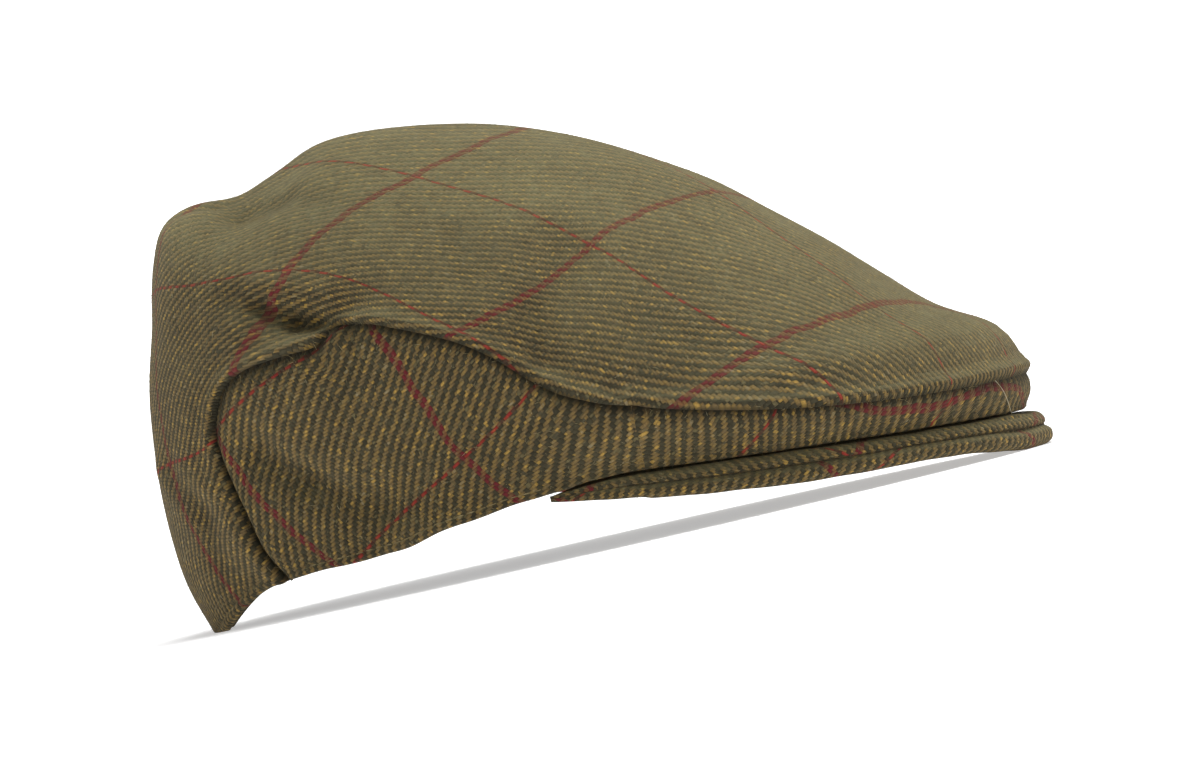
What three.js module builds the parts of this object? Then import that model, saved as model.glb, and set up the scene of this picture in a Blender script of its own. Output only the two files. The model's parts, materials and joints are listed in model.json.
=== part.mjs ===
// A flat cap in tweed: a top panel that also forms the back, two side panels and a stiff peak.
// Millimetres, +X to the front, +Y to the wearer's left, +Z up. The cap rests on z = 0.

import * as THREE from "three";

// Driving dimensions, in millimetres
const capLength = 278;
const capHeight = 144;
const crownWidth = 200;
const rimWidth = 174;
const rimArch = 21;
const peakOverhang = 7.5;
const peakDepth = 55;
const peakWing = 10;
const peakThickness = 5;
const cloth = 2;
const seamGap = 0.3;
const foldDepth = 5;
const foldReach = 10;

// How finely the cloth is divided
const stepsPerRow = 3;
const panelColumns = 24;
const sideRows = 4;
const peakInnerSteps = 3;

// Ribs of the top panel, from the back rim over the crown to the front seam.
// x is a share of capLength from the back rim, y of half crownWidth, z of capHeight.
// seam is where the rib meets the side panel, top is the centre line, startDegrees is the angle in
// degrees at which the rib's arc leaves the seam, and sag holds its ends level for longer.
const crownRows = [
  { seamX: 0.087, seamY: 0.51, seamZ: 0.078, topX: -0.009, topZ: -0.024, startDegrees: 40, sag: 1.9 },
  { seamX: 0.061, seamY: 0.52, seamZ: 0.22, topX: -0.032, topZ: 0.139, startDegrees: 40, sag: 1.6 },
  { seamX: 0.042, seamY: 0.535, seamZ: 0.396, topX: -0.034, topZ: 0.319, startDegrees: 39, sag: 1.3 },
  { seamX: 0.055, seamY: 0.595, seamZ: 0.492, topX: -0.026, topZ: 0.514, startDegrees: 35, sag: 1.0 },
  { seamX: 0.086, seamY: 0.68, seamZ: 0.54, topX: -0.007, topZ: 0.667, startDegrees: 30, sag: 1.0 },
  { seamX: 0.153, seamY: 0.825, seamZ: 0.56, topX: 0.032, topZ: 0.878, startDegrees: 24, sag: 1.0 },
  { seamX: 0.221, seamY: 0.905, seamZ: 0.592, topX: 0.13, topZ: 0.962, startDegrees: 18, sag: 1.0 },
  { seamX: 0.272, seamY: 0.95, seamZ: 0.559, topX: 0.23, topZ: 0.996, startDegrees: 14, sag: 1.0 },
  { seamX: 0.332, seamY: 0.985, seamZ: 0.503, topX: 0.331, topZ: 0.984, startDegrees: 12, sag: 1.0 },
  { seamX: 0.372, seamY: 0.997, seamZ: 0.448, topX: 0.432, topZ: 0.938, startDegrees: 10, sag: 1.0 },
  { seamX: 0.403, seamY: 1.0, seamZ: 0.392, topX: 0.532, topZ: 0.863, startDegrees: 8, sag: 1.0 },
  { seamX: 0.43, seamY: 1.0, seamZ: 0.349, topX: 0.647, topZ: 0.729, startDegrees: 7, sag: 1.0 },
  { seamX: 0.457, seamY: 1.0, seamZ: 0.321, topX: 0.763, topZ: 0.539, startDegrees: 6, sag: 1.0 },
  { seamX: 0.477, seamY: 1.0, seamZ: 0.304, topX: 0.856, topZ: 0.367, startDegrees: 5, sag: 1.0 },
  { seamX: 0.493, seamY: 0.998, seamZ: 0.293, topX: 0.927, topZ: 0.274, startDegrees: 3, sag: 1.0 },
  { seamX: 0.504, seamY: 0.996, seamZ: 0.287, topX: 0.955, topZ: 0.165, startDegrees: 0, sag: 1.0 },
];

// Lower edge of a side panel, one row for each crown row.
// x is a share of capLength, y of half rimWidth, z of rimArch.
const rimRows = [
  { x: 0.094, y: 0.615, z: 0.54 },
  { x: 0.108, y: 0.665, z: 0.56 },
  { x: 0.13, y: 0.725, z: 0.59 },
  { x: 0.155, y: 0.785, z: 0.59 },
  { x: 0.185, y: 0.835, z: 0.61 },
  { x: 0.23, y: 0.89, z: 0.68 },
  { x: 0.27, y: 0.925, z: 0.81 },
  { x: 0.309, y: 0.95, z: 0.83 },
  { x: 0.349, y: 0.964, z: 0.9 },
  { x: 0.385, y: 0.973, z: 0.935 },
  { x: 0.414, y: 0.981, z: 0.965 },
  { x: 0.439, y: 0.988, z: 0.995 },
  { x: 0.462, y: 0.993, z: 1.0 },
  { x: 0.48, y: 0.997, z: 1.0 },
  { x: 0.495, y: 0.999, z: 0.995 },
  { x: 0.504, y: 1.0, z: 0.985 },
];

// Front end of the lower edge, and how soon seam and lower edge dip on their way to the front
const frontLengthShare = 0.936;
const frontHeightShare = 0.54;
const frontSeamDip = 2.1;
const frontRimDip = 1.1;

// Sections of the peak from the tip of a wing, along 0, to the centre of the front, along 1.
// out is a share of peakOverhang, edgeZ of rimArch, and rise tells how far the inner edge has
// climbed towards its height at the front.
const wingRowIndex = 9.3;
const wingShare = 0.2;
const peakPitch = 28;
const peakRows = [
  { along: 0.0, out: 0.05, edgeZ: 0.85, rise: 0.0 },
  { along: 0.1, out: 0.4, edgeZ: 0.69, rise: 0.12 },
  { along: 0.2, out: 0.72, edgeZ: 0.585, rise: 0.24 },
  { along: 0.3, out: 0.84, edgeZ: 0.43, rise: 0.36 },
  { along: 0.4, out: 0.87, edgeZ: 0.32, rise: 0.48 },
  { along: 0.5, out: 0.89, edgeZ: 0.25, rise: 0.6 },
  { along: 0.6, out: 0.92, edgeZ: 0.21, rise: 0.72 },
  { along: 0.7, out: 0.95, edgeZ: 0.13, rise: 0.83 },
  { along: 0.8, out: 0.98, edgeZ: 0.02, rise: 0.92 },
  { along: 0.9, out: 1.0, edgeZ: -0.03, rise: 0.98 },
  { along: 1.0, out: 1.0, edgeZ: -0.05, rise: 1.0 },
];

// The peak's edge outside the crown: reach is a share of the overhang at that section, and
// height of the way from the lowest edge up to the crown, for the upper and the under face
const edgeShape = [
  { reach: 0.05, height: 1.0, underReach: 0.2, underHeight: 0.18 },
  { reach: 0.45, height: 0.91, underReach: 0.45, underHeight: 0.0 },
  { reach: 0.8, height: 0.68, underReach: 0.82, underHeight: 0.0 },
  { reach: 1.0, height: 0.3, underReach: 0.96, underHeight: 0.1 },
];

// Dents and folds: a soft groove from one point to another. x is a share of capLength, y of half
// crownWidth (minus is the wearer's right), z of capHeight, depth of foldDepth and reach, its
// half width, of foldReach. A depth below zero stands proud.
const folds = [
  {name: "rear dent", x1: 0.125, y1: -0.42, z1: 0.93, x2: 0.13, y2: 0.4, z2: 0.93, depth: 1.2, reach: 1.7},
  {name: "shoulder", x1: 0.185, y1: -0.35, z1: 0.95, x2: 0.18, y2: 0.25, z2: 0.965, depth: 0.3, reach: 0.9},
  {name: "corner crease", x1: 0.211, y1: -0.9, z1: 0.606, x2: 0.13, y2: -0.8, z2: 0.655, depth: 0.8, reach: 0.8},
  {name: "top valley", x1: 0.425, y1: -0.99, z1: 0.43, x2: 0.465, y2: -0.85, z2: 0.647, depth: 0.6, reach: 1.3},
  {name: "side valley", x1: 0.092, y1: -0.64, z1: 0.365, x2: 0.207, y2: -0.8, z2: 0.205, depth: 0.6, reach: 0.9},
  {name: "rear fold", x1: -0.02, y1: -0.2, z1: 0.372, x2: 0.061, y2: -0.5, z2: 0.144, depth: -0.4, reach: 0.8},
  {name: "hem flare", x1: 0.235, y1: -0.79, z1: 0.105, x2: 0.27, y2: -0.81, z2: 0.13, depth: -0.4, reach: 0.8},
  {name: "left crease", x1: 0.2, y1: 0.9, z1: 0.63, x2: 0.12, y2: 0.76, z2: 0.72, depth: 0.6, reach: 0.9},
  {name: "left valley", x1: 0.4, y1: 0.97, z1: 0.48, x2: 0.48, y2: 0.82, z2: 0.68, depth: 0.6, reach: 1.5},
  {name: "left side", x1: 0.13, y1: 0.74, z1: 0.4, x2: 0.25, y2: 0.86, z2: 0.22, depth: 0.5, reach: 1},
];

// Spline through the rows of a table, read at u in row steps
function readRows(rows, key, u) {
  const last = rows.length - 1;
  const i = Math.min(Math.floor(u), last - 1);
  const t = u - i;
  const p1 = rows[i][key];
  const p2 = rows[i + 1][key];
  const p0 = i > 0 ? rows[i - 1][key] : 2 * p1 - p2;
  const p3 = i + 2 <= last ? rows[i + 2][key] : 2 * p2 - p1;
  const slope = p2 - p0;
  const bend = 2 * p0 - 5 * p1 + 4 * p2 - p3;
  const twist = 3 * (p1 - p2) + p3 - p0;
  return 0.5 * (2 * p1 + slope * t + bend * t * t + twist * t * t * t);
}

const lastRow = crownRows.length - 1;
const crownHalf = crownWidth / 2;
const rimHalf = rimWidth / 2;

// A point on the front half of an edge that runs round from its widest place to the centre
function frontArc(from, to, angle, dip) {
  const ahead = Math.sin(angle);
  return new THREE.Vector3(
    from.x + (to.x - from.x) * ahead,
    from.y * Math.cos(angle),
    from.z + (to.z - from.z) * (1 - Math.pow(1 - ahead, dip))
  );
}

// The heart of the hollow: folds and seams press towards it
function inward(point) {
  const heart = new THREE.Vector3(
    THREE.MathUtils.clamp(point.x, 0.25 * capLength, 0.72 * capLength),
    0,
    0.3 * capHeight
  );
  return heart.sub(point).normalize();
}

function pressFolds(point) {
  const moved = point.clone();
  const direction = inward(point);
  for (const fold of folds) {
    const start = new THREE.Vector3(fold.x1 * capLength, fold.y1 * crownHalf, fold.z1 * capHeight);
    const end = new THREE.Vector3(fold.x2 * capLength, fold.y2 * crownHalf, fold.z2 * capHeight);
    const nearest = new THREE.Vector3();
    new THREE.Line3(start, end).closestPointToPoint(point, true, nearest);
    const away = nearest.distanceTo(point) / (fold.reach * foldReach);
    moved.addScaledVector(direction, fold.depth * foldDepth * Math.exp(-away * away));
  }
  return moved;
}

// The right half of the top panel's surface: u in crown rows, angle from the seam to the centre
function crownPoint(u, angle) {
  const seamX = readRows(crownRows, "seamX", u) * capLength;
  const seamY = readRows(crownRows, "seamY", u) * crownHalf;
  const seamZ = readRows(crownRows, "seamZ", u) * capHeight;
  const topX = readRows(crownRows, "topX", u) * capLength;
  const topZ = readRows(crownRows, "topZ", u) * capHeight;
  const start = THREE.MathUtils.degToRad(Math.max(0, readRows(crownRows, "startDegrees", u)));
  const turned = start + (angle / (Math.PI / 2)) * (Math.PI / 2 - start);
  const ahead = (Math.sin(turned) - Math.sin(start)) / (1 - Math.sin(start));
  const across = Math.cos(turned) / Math.cos(start);
  const frontShare = THREE.MathUtils.smoothstep(u, lastRow - 4, lastRow);
  const dipped = 1 - Math.pow(1 - ahead, frontSeamDip);
  const sagged = Math.pow(ahead, readRows(crownRows, "sag", u));
  const rise = (1 - frontShare) * sagged + frontShare * dipped;
  return new THREE.Vector3(
    seamX + (topX - seamX) * ahead,
    -seamY * across,
    seamZ + (topZ - seamZ) * rise
  );
}

// The lower edge of the right side panel: tau in rim rows, then round the front in one more
function rimPoint(tau) {
  if (tau <= lastRow) {
    return new THREE.Vector3(
      readRows(rimRows, "x", tau) * capLength,
      -readRows(rimRows, "y", tau) * rimHalf,
      readRows(rimRows, "z", tau) * rimArch
    );
  }
  const from = rimPoint(lastRow);
  const to = new THREE.Vector3(frontLengthShare * capLength, 0, frontHeightShare * rimArch);
  return frontArc(from, to, (tau - lastRow) * (Math.PI / 2), frontRimDip);
}

// The seam between top and side panels on the right, over the same range
function seamPoint(tau) {
  if (tau <= lastRow) {
    return crownPoint(tau, 0);
  }
  return crownPoint(lastRow, (tau - lastRow) * (Math.PI / 2));
}

function mirrored(point, side) {
  return new THREE.Vector3(point.x, -side * point.y, point.z);
}

// Stations shared by both panels, so that their edges meet facet to facet
const halfColumns = panelColumns / 2;
const rowStations = [];
for (let i = 0; i <= lastRow * stepsPerRow; i += 1) {
  rowStations.push(i / stepsPerRow);
}
const seamStations = [...rowStations];
for (let j = 1; j <= halfColumns; j += 1) {
  seamStations.push(lastRow + j / halfColumns);
}

// Inward unit normals of a grid of points
function gridNormals(grid) {
  return grid.map((row, i) =>
    row.map((point, j) => {
      const before = grid[Math.max(i - 1, 0)][j];
      const after = grid[Math.min(i + 1, grid.length - 1)][j];
      const left = row[Math.max(j - 1, 0)];
      const right = row[Math.min(j + 1, row.length - 1)];
      const along = after.clone().sub(before);
      const across = right.clone().sub(left);
      const normal = along.cross(across).normalize();
      return normal.dot(inward(point)) < 0 ? normal.negate() : normal;
    })
  );
}

// A closed shell between an outer and an inner grid. flip turns its faces the other way round.
function shellGeometry(outer, inner, flip) {
  const rows = outer.length;
  const columns = outer[0].length;
  const positions = [];
  for (const layer of [outer, inner]) {
    for (const row of layer) {
      for (const point of row) {
        positions.push(point.x, point.y, point.z);
      }
    }
  }
  const at = (layer, i, j) => layer * rows * columns + i * columns + j;
  const indices = [];
  const quad = (a, b, c, d) => {
    if (flip) {
      indices.push(a, c, b, a, d, c);
    } else {
      indices.push(a, b, c, a, c, d);
    }
  };
  for (let i = 0; i + 1 < rows; i += 1) {
    for (let j = 0; j + 1 < columns; j += 1) {
      quad(at(0, i, j), at(0, i, j + 1), at(0, i + 1, j + 1), at(0, i + 1, j));
      quad(at(1, i, j), at(1, i + 1, j), at(1, i + 1, j + 1), at(1, i, j + 1));
    }
    quad(at(0, i, 0), at(0, i + 1, 0), at(1, i + 1, 0), at(1, i, 0));
    quad(at(0, i, columns - 1), at(1, i, columns - 1), at(1, i + 1, columns - 1), at(0, i + 1, columns - 1));
  }
  for (let j = 0; j + 1 < columns; j += 1) {
    quad(at(0, 0, j), at(1, 0, j), at(1, 0, j + 1), at(0, 0, j + 1));
    quad(at(0, rows - 1, j), at(0, rows - 1, j + 1), at(1, rows - 1, j + 1), at(1, rows - 1, j));
  }
  const geometry = new THREE.BufferGeometry();
  geometry.setAttribute("position", new THREE.Float32BufferAttribute(positions, 3));
  geometry.setIndex(indices);
  geometry.computeVertexNormals();
  return geometry;
}

// Direction of the cut face at a seam, and the way across the seam into the side panel
function seamFrame(tau, side) {
  const step = 0.05;
  const span = lastRow + 1;
  const point = pressFolds(mirrored(seamPoint(tau), side));
  const before = mirrored(seamPoint(Math.max(0, tau - step)), side);
  const after = mirrored(seamPoint(Math.min(span, tau + step)), side);
  const tangent = after.sub(before).normalize();
  const cut = inward(point);
  const across = tangent.clone().cross(cut).normalize();
  const rim = mirrored(rimPoint(tau), side);
  if (across.dot(rim.sub(point)) < 0) {
    across.negate();
  }
  return { point, cut, across };
}

// Towards the hollow and level, for the cut face along the lower edge
function levelInward(point) {
  const direction = inward(point);
  direction.z = 0;
  return direction.normalize();
}

function topPanel() {
  const outer = rowStations.map((u) => {
    const row = [];
    for (let j = 0; j <= panelColumns; j += 1) {
      const side = j <= halfColumns ? -1 : 1;
      const angle = (1 - Math.abs(j - halfColumns) / halfColumns) * (Math.PI / 2);
      row.push(pressFolds(mirrored(crownPoint(u, angle), side)));
    }
    return row;
  });
  for (const point of outer[0]) {
    point.z = Math.max(point.z, 0);
  }
  const normals = gridNormals(outer);
  const lastI = outer.length - 1;
  const inner = outer.map((row, i) =>
    row.map((point, j) => {
      const edge = Math.min(j, panelColumns - j, lastI - i);
      const towards = edge > 2 ? normals[i][j] : normals[i][j].clone().lerp(inward(point), 1 - edge / 3);
      const direction = i === 0 ? levelInward(point) : towards.clone().normalize();
      return point.clone().addScaledVector(direction, cloth);
    })
  );
  return shellGeometry(outer, inner, true);
}

function sidePanel(side) {
  const outer = [];
  for (let k = 0; k <= sideRows; k += 1) {
    const share = k / sideRows;
    const row = seamStations.map((tau) => {
      const seam = seamFrame(tau, side);
      const upper = seam.point.addScaledVector(seam.across, seamGap);
      const lower = mirrored(rimPoint(tau), side);
      const point = upper.lerp(lower, share);
      const pressed = k === 0 ? point : pressFolds(point);
      return pressed;
    });
    outer.push(row);
  }
  for (const row of outer) {
    const last = row[row.length - 1];
    last.y = (side * seamGap) / 2;
  }
  const normals = gridNormals(outer);
  const inner = outer.map((row, k) =>
    row.map((point, i) => {
      const atFront = i === row.length - 1;
      let direction = normals[k][i].clone();
      if (k === 0) {
        direction = seamFrame(seamStations[i], side).cut;
      }
      if (k === sideRows) {
        direction = levelInward(point);
      }
      if (atFront) {
        direction.y = 0;
      }
      return point.clone().addScaledVector(direction.normalize(), cloth);
    })
  );
  return shellGeometry(outer, inner, side < 0);
}

// Where a section of the peak stands: its crown edge, its outward direction and its table row
function peakStation(tau, side) {
  const step = 0.05;
  const span = lastRow + 1;
  const crownEdge = pressFolds(mirrored(rimPoint(tau), side));
  const before = mirrored(rimPoint(tau - step), side);
  const after = mirrored(rimPoint(Math.min(span, tau + step)), side);
  const along = after.sub(before);
  const outward = new THREE.Vector3(along.y, -along.x, 0).normalize();
  if (outward.dot(levelInward(crownEdge)) > 0) {
    outward.negate();
  }
  const wing = ((tau - wingRowIndex) / (lastRow - wingRowIndex)) * wingShare;
  const front = wingShare + (1 - wingShare) * (tau - lastRow);
  return { crownEdge, outward, share: tau <= lastRow ? wing : front };
}

function peakSection(tau, side) {
  const { crownEdge, outward, share } = peakStation(tau, side);
  const u = share * (peakRows.length - 1);
  const overhang = readRows(peakRows, "out", u) * peakOverhang;
  const lowest = Math.max(0, readRows(peakRows, "edgeZ", u) * rimArch);
  const seatZ = crownEdge.z - seamGap;
  const tall = seatZ - lowest;
  const thick = Math.min(peakThickness * 1.2, tall * 0.6);
  const frontEdge = rimPoint(lastRow + 1);
  const wingEdge = rimPoint(wingRowIndex);
  const turn = (share * Math.PI) / 2;
  const innerHalf = (rimHalf - peakWing) / Math.cos((wingShare * Math.PI) / 2);
  const innerFront = frontEdge.x - peakDepth;
  const innerTop = frontEdge.z + peakDepth * Math.tan(THREE.MathUtils.degToRad(peakPitch));
  const wingTop = wingEdge.z - seamGap;
  const inner = new THREE.Vector3(
    wingEdge.x + (innerFront - wingEdge.x) * Math.sin(turn),
    side * innerHalf * Math.cos(turn),
    wingTop + (innerTop - wingTop) * readRows(peakRows, "rise", u)
  );
  const seat = crownEdge.clone().addScaledVector(outward, -cloth - seamGap);
  seat.z = seatZ;
  const underSeat = seat.clone();
  underSeat.z -= thick;
  const innerUnder = inner.clone();
  innerUnder.z -= Math.min(peakThickness, thick);
  const upper = [];
  const under = [];
  for (let k = 0; k < peakInnerSteps; k += 1) {
    upper.push(inner.clone().lerp(seat, k / peakInnerSteps));
    under.push(innerUnder.clone().lerp(underSeat, k / peakInnerSteps));
  }
  upper.push(seat);
  under.push(underSeat);
  for (const edge of edgeShape) {
    const top = crownEdge.clone().addScaledVector(outward, edge.reach * overhang);
    top.z = lowest + edge.height * tall;
    const bottom = crownEdge.clone().addScaledVector(outward, edge.underReach * overhang);
    bottom.z = lowest + edge.underHeight * tall;
    upper.push(top);
    under.push(bottom);
  }
  return { upper, under };
}

function peak() {
  const wing = seamStations.filter((tau) => tau >= wingRowIndex);
  const right = wing.map((tau) => peakSection(tau, -1));
  const left = wing.slice(0, -1).reverse().map((tau) => peakSection(tau, 1));
  const sections = [...right, ...left];
  return shellGeometry(
    sections.map((section) => section.upper),
    sections.map((section) => section.under),
    false
  );
}

function makeMesh(name, geometry, colour, roughness) {
  const material = new THREE.MeshStandardMaterial({ color: colour, roughness, metalness: 0 });
  const mesh = new THREE.Mesh(geometry, material);
  mesh.name = name;
  return mesh;
}

const cap = new THREE.Group();
cap.add(makeMesh("top_panel", topPanel(), 0x6e6344, 0.95));
cap.add(makeMesh("side_panel_right", sidePanel(-1), 0x5c5038, 0.95));
cap.add(makeMesh("side_panel_left", sidePanel(1), 0x5c5038, 0.95));
cap.add(makeMesh("peak", peak(), 0x5f553d, 0.95));

// The origin is under the middle of the cap, on the surface it rests on
const bounds = new THREE.Box3().setFromObject(cap);
const middle = bounds.getCenter(new THREE.Vector3());
cap.position.set(-middle.x, -middle.y, -bounds.min.z);

export default cap;
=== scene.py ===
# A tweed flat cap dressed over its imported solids: three cloth panels, a covered peak, stitches
# and loose fibres, in a pale studio. Lengths are millimetres until MM turns them into metres.

import json
import math
from functools import partial

import bpy
import numpy as np
from mathutils import Matrix, Vector

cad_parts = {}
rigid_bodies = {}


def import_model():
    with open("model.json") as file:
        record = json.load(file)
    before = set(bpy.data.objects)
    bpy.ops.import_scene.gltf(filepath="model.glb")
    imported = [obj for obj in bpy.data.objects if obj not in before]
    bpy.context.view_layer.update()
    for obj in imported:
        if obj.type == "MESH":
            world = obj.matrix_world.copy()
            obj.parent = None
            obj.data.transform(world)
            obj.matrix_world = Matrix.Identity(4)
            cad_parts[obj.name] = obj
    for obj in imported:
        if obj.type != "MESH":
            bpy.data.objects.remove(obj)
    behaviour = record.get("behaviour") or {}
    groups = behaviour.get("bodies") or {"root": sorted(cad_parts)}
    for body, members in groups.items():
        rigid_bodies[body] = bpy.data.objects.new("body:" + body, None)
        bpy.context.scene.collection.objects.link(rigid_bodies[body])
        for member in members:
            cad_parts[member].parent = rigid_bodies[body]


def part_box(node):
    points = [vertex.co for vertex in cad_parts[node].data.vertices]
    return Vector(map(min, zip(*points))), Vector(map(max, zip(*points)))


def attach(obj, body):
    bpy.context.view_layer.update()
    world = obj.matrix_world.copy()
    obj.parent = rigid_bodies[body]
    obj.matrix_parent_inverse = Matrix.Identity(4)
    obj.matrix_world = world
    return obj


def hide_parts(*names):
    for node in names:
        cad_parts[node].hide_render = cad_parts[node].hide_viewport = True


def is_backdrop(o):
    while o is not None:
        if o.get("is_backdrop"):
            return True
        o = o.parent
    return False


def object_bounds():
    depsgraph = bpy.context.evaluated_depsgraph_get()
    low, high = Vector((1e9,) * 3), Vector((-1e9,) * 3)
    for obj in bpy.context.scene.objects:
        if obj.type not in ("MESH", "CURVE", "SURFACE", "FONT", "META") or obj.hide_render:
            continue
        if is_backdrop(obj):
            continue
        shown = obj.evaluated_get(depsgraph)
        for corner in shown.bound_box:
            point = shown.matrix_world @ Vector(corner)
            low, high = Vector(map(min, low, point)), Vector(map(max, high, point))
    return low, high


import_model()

cad_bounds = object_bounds()
for spare in [o for o in bpy.data.objects if o.name in ("Cube", "Light", "Camera")]:
    bpy.data.objects.remove(spare)
MM = 0.001
rng = np.random.default_rng(11)

# Sizes of the cap
CAP_LENGTH = 278
CAP_HEIGHT = 144
CROWN_HALF = 100
RIM_HALF = 87
RIM_ARCH = 21
PEAK_OVERHANG = 7.5
PEAK_DEPTH = 55
PEAK_WING = 10
PEAK_THICKNESS = 5
PEAK_PITCH = math.radians(28)
CLOTH = 2
SEAM_GAP = 0.3

# Front end of the lower edge, and how soon seam and lower edge dip on their way to the front
FRONT_LENGTH = 0.936
FRONT_HEIGHT = 0.54
FRONT_SEAM_DIP = 2.1
FRONT_RIM_DIP = 1.1
WING_ROW = 9.3
WING_SHARE = 0.2


def table(header, rows):
    """The columns of a table as arrays, by the names in its header."""
    return {name: np.array([row[k] for row in rows]) for k, name in enumerate(header.split())}


# Ribs of the top panel, from the back rim over the crown to the front seam. x is a share of
# CAP_LENGTH, y of CROWN_HALF, z of CAP_HEIGHT, and start is in degrees.
CROWN = table("seam_x seam_y seam_z top_x top_z start sag", [
    (0.087, 0.51, 0.078, -0.009, -0.024, 40, 1.9),
    (0.061, 0.52, 0.22, -0.032, 0.139, 40, 1.6),
    (0.042, 0.535, 0.396, -0.034, 0.319, 39, 1.3),
    (0.055, 0.595, 0.492, -0.026, 0.514, 35, 1.0),
    (0.086, 0.68, 0.54, -0.007, 0.667, 30, 1.0),
    (0.153, 0.825, 0.56, 0.032, 0.878, 24, 1.0),
    (0.221, 0.905, 0.592, 0.13, 0.962, 18, 1.0),
    (0.272, 0.95, 0.559, 0.23, 0.996, 14, 1.0),
    (0.332, 0.985, 0.503, 0.331, 0.984, 12, 1.0),
    (0.372, 0.997, 0.448, 0.432, 0.938, 10, 1.0),
    (0.403, 1.0, 0.392, 0.532, 0.863, 8, 1.0),
    (0.43, 1.0, 0.349, 0.647, 0.729, 7, 1.0),
    (0.457, 1.0, 0.321, 0.763, 0.539, 6, 1.0),
    (0.477, 1.0, 0.304, 0.856, 0.367, 5, 1.0),
    (0.493, 0.998, 0.293, 0.927, 0.274, 3, 1.0),
    (0.504, 0.996, 0.287, 0.955, 0.165, 0, 1.0),
])

# Lower edge of a side panel: x of CAP_LENGTH, y of RIM_HALF, z of RIM_ARCH
RIM = table("x y z", [
    (0.094, 0.615, 0.54),
    (0.108, 0.665, 0.56),
    (0.13, 0.725, 0.59),
    (0.155, 0.785, 0.59),
    (0.185, 0.835, 0.61),
    (0.23, 0.89, 0.68),
    (0.27, 0.925, 0.81),
    (0.309, 0.95, 0.83),
    (0.349, 0.964, 0.9),
    (0.385, 0.973, 0.935),
    (0.414, 0.981, 0.965),
    (0.439, 0.988, 0.995),
    (0.462, 0.993, 1.0),
    (0.48, 0.997, 1.0),
    (0.495, 0.999, 0.995),
    (0.504, 1.0, 0.985),
])

# Sections of the peak from the tip of a wing to the centre of the front
PEAK = table("out edge_z rise", [
    (0.05, 0.85, 0.0),
    (0.4, 0.69, 0.12),
    (0.72, 0.585, 0.24),
    (0.84, 0.43, 0.36),
    (0.87, 0.32, 0.48),
    (0.89, 0.25, 0.6),
    (0.92, 0.21, 0.72),
    (0.95, 0.13, 0.83),
    (0.98, 0.02, 0.92),
    (1.0, -0.03, 0.98),
    (1.0, -0.05, 1.0),
])

# The peak's section outside the crown, from its seat round the stitched groove and the rolled
# edge to the under face: reach of the overhang, height of the way up to the crown
PEAK_EDGE = table("reach height", [
    (0.02, 1.0),
    (0.3, 0.99),
    (0.6, 0.92),
    (0.78, 0.78),
    (0.8, 0.64),
    (0.68, 0.56),
    (0.82, 0.49),
    (0.96, 0.4),
    (1.0, 0.28),
    (0.93, 0.12),
    (0.7, 0.02),
    (0.45, 0.0),
    (0.2, 0.1),
])

# Dents and folds as soft grooves from one point to another: x of CAP_LENGTH, y of CROWN_HALF
# (minus is the wearer's right), z of CAP_HEIGHT, depth and half width in millimetres. A depth
# below zero stands proud.
FOLDS = table("name x1 y1 z1 x2 y2 z2 depth reach", [
    ("rear dent", 0.125, -0.42, 0.93, 0.13, 0.4, 0.93, 6, 17),
    ("shoulder", 0.185, -0.35, 0.95, 0.18, 0.25, 0.965, 1.5, 9),
    ("corner crease", 0.211, -0.9, 0.606, 0.13, -0.8, 0.655, 4, 8),
    ("top valley", 0.425, -0.99, 0.43, 0.465, -0.85, 0.647, 3, 13),
    ("side valley", 0.092, -0.64, 0.365, 0.207, -0.8, 0.205, 3, 9),
    ("rear fold", -0.02, -0.2, 0.372, 0.061, -0.5, 0.144, -2, 8),
    ("hem flare", 0.235, -0.79, 0.105, 0.27, -0.81, 0.13, -2, 8),
    ("left crease", 0.2, 0.9, 0.63, 0.12, 0.76, 0.72, 3, 9),
    ("left valley", 0.4, 0.97, 0.48, 0.48, 0.82, 0.68, 3, 15),
    ("left side", 0.13, 0.74, 0.4, 0.25, 0.86, 0.22, 2.5, 10),
])

# Small shifts that put the kink in the right seam at its rear corner, in millimetres
NUDGES = table("x y z ahead up reach", [
    (57.5, -88, 82, -0.8, 3.2, 6),
    (50.5, -84, 77, 1.0, -2.2, 5.5),
])

# How far the surface stands off its smooth form near an edge, by distance from that edge: the
# top panel's rolled lip, the side panel dipping under it, and the turned and stitched hem
LIP = table("away rise", [
    (0, -1.6), (0.3, -0.8), (0.8, 0.3), (1.6, 1.1), (2.7, 1.15), (4.2, 0.5), (6.5, 0.0),
])
DIP = table("away rise", [(0, -1.7), (0.6, -1.6), (1.4, -1.2), (2.6, -0.65), (4.5, -0.2), (7, 0.0)])
HEM = table("away rise", [
    (0, -1.3), (0.4, -0.45), (0.9, 0.1), (1.8, 0.4), (2.7, 0.2), (3.2, -0.3), (3.7, 0.0), (5, 0.0),
])

# Yarns: the spacing of the dark yarns, which the overcheck counts along, and of the gold ones
DARK_PITCH = 1.36
GOLD_PITCH = 0.89

LAST = len(CROWN["seam_x"]) - 1


def lengths(line):
    """Distance of each point of a line from its start, along the line."""
    return np.concatenate([[0], np.cumsum(np.linalg.norm(np.diff(line, axis=0), axis=1))])


def row_lengths(grid, zero):
    """Distance along each row of a grid from its node in column zero."""
    steps = np.linalg.norm(np.diff(grid, axis=1), axis=2)
    along = np.concatenate([np.zeros((len(grid), 1)), np.cumsum(steps, axis=1)], 1)
    return along - along[:, zero:zero + 1]


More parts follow.
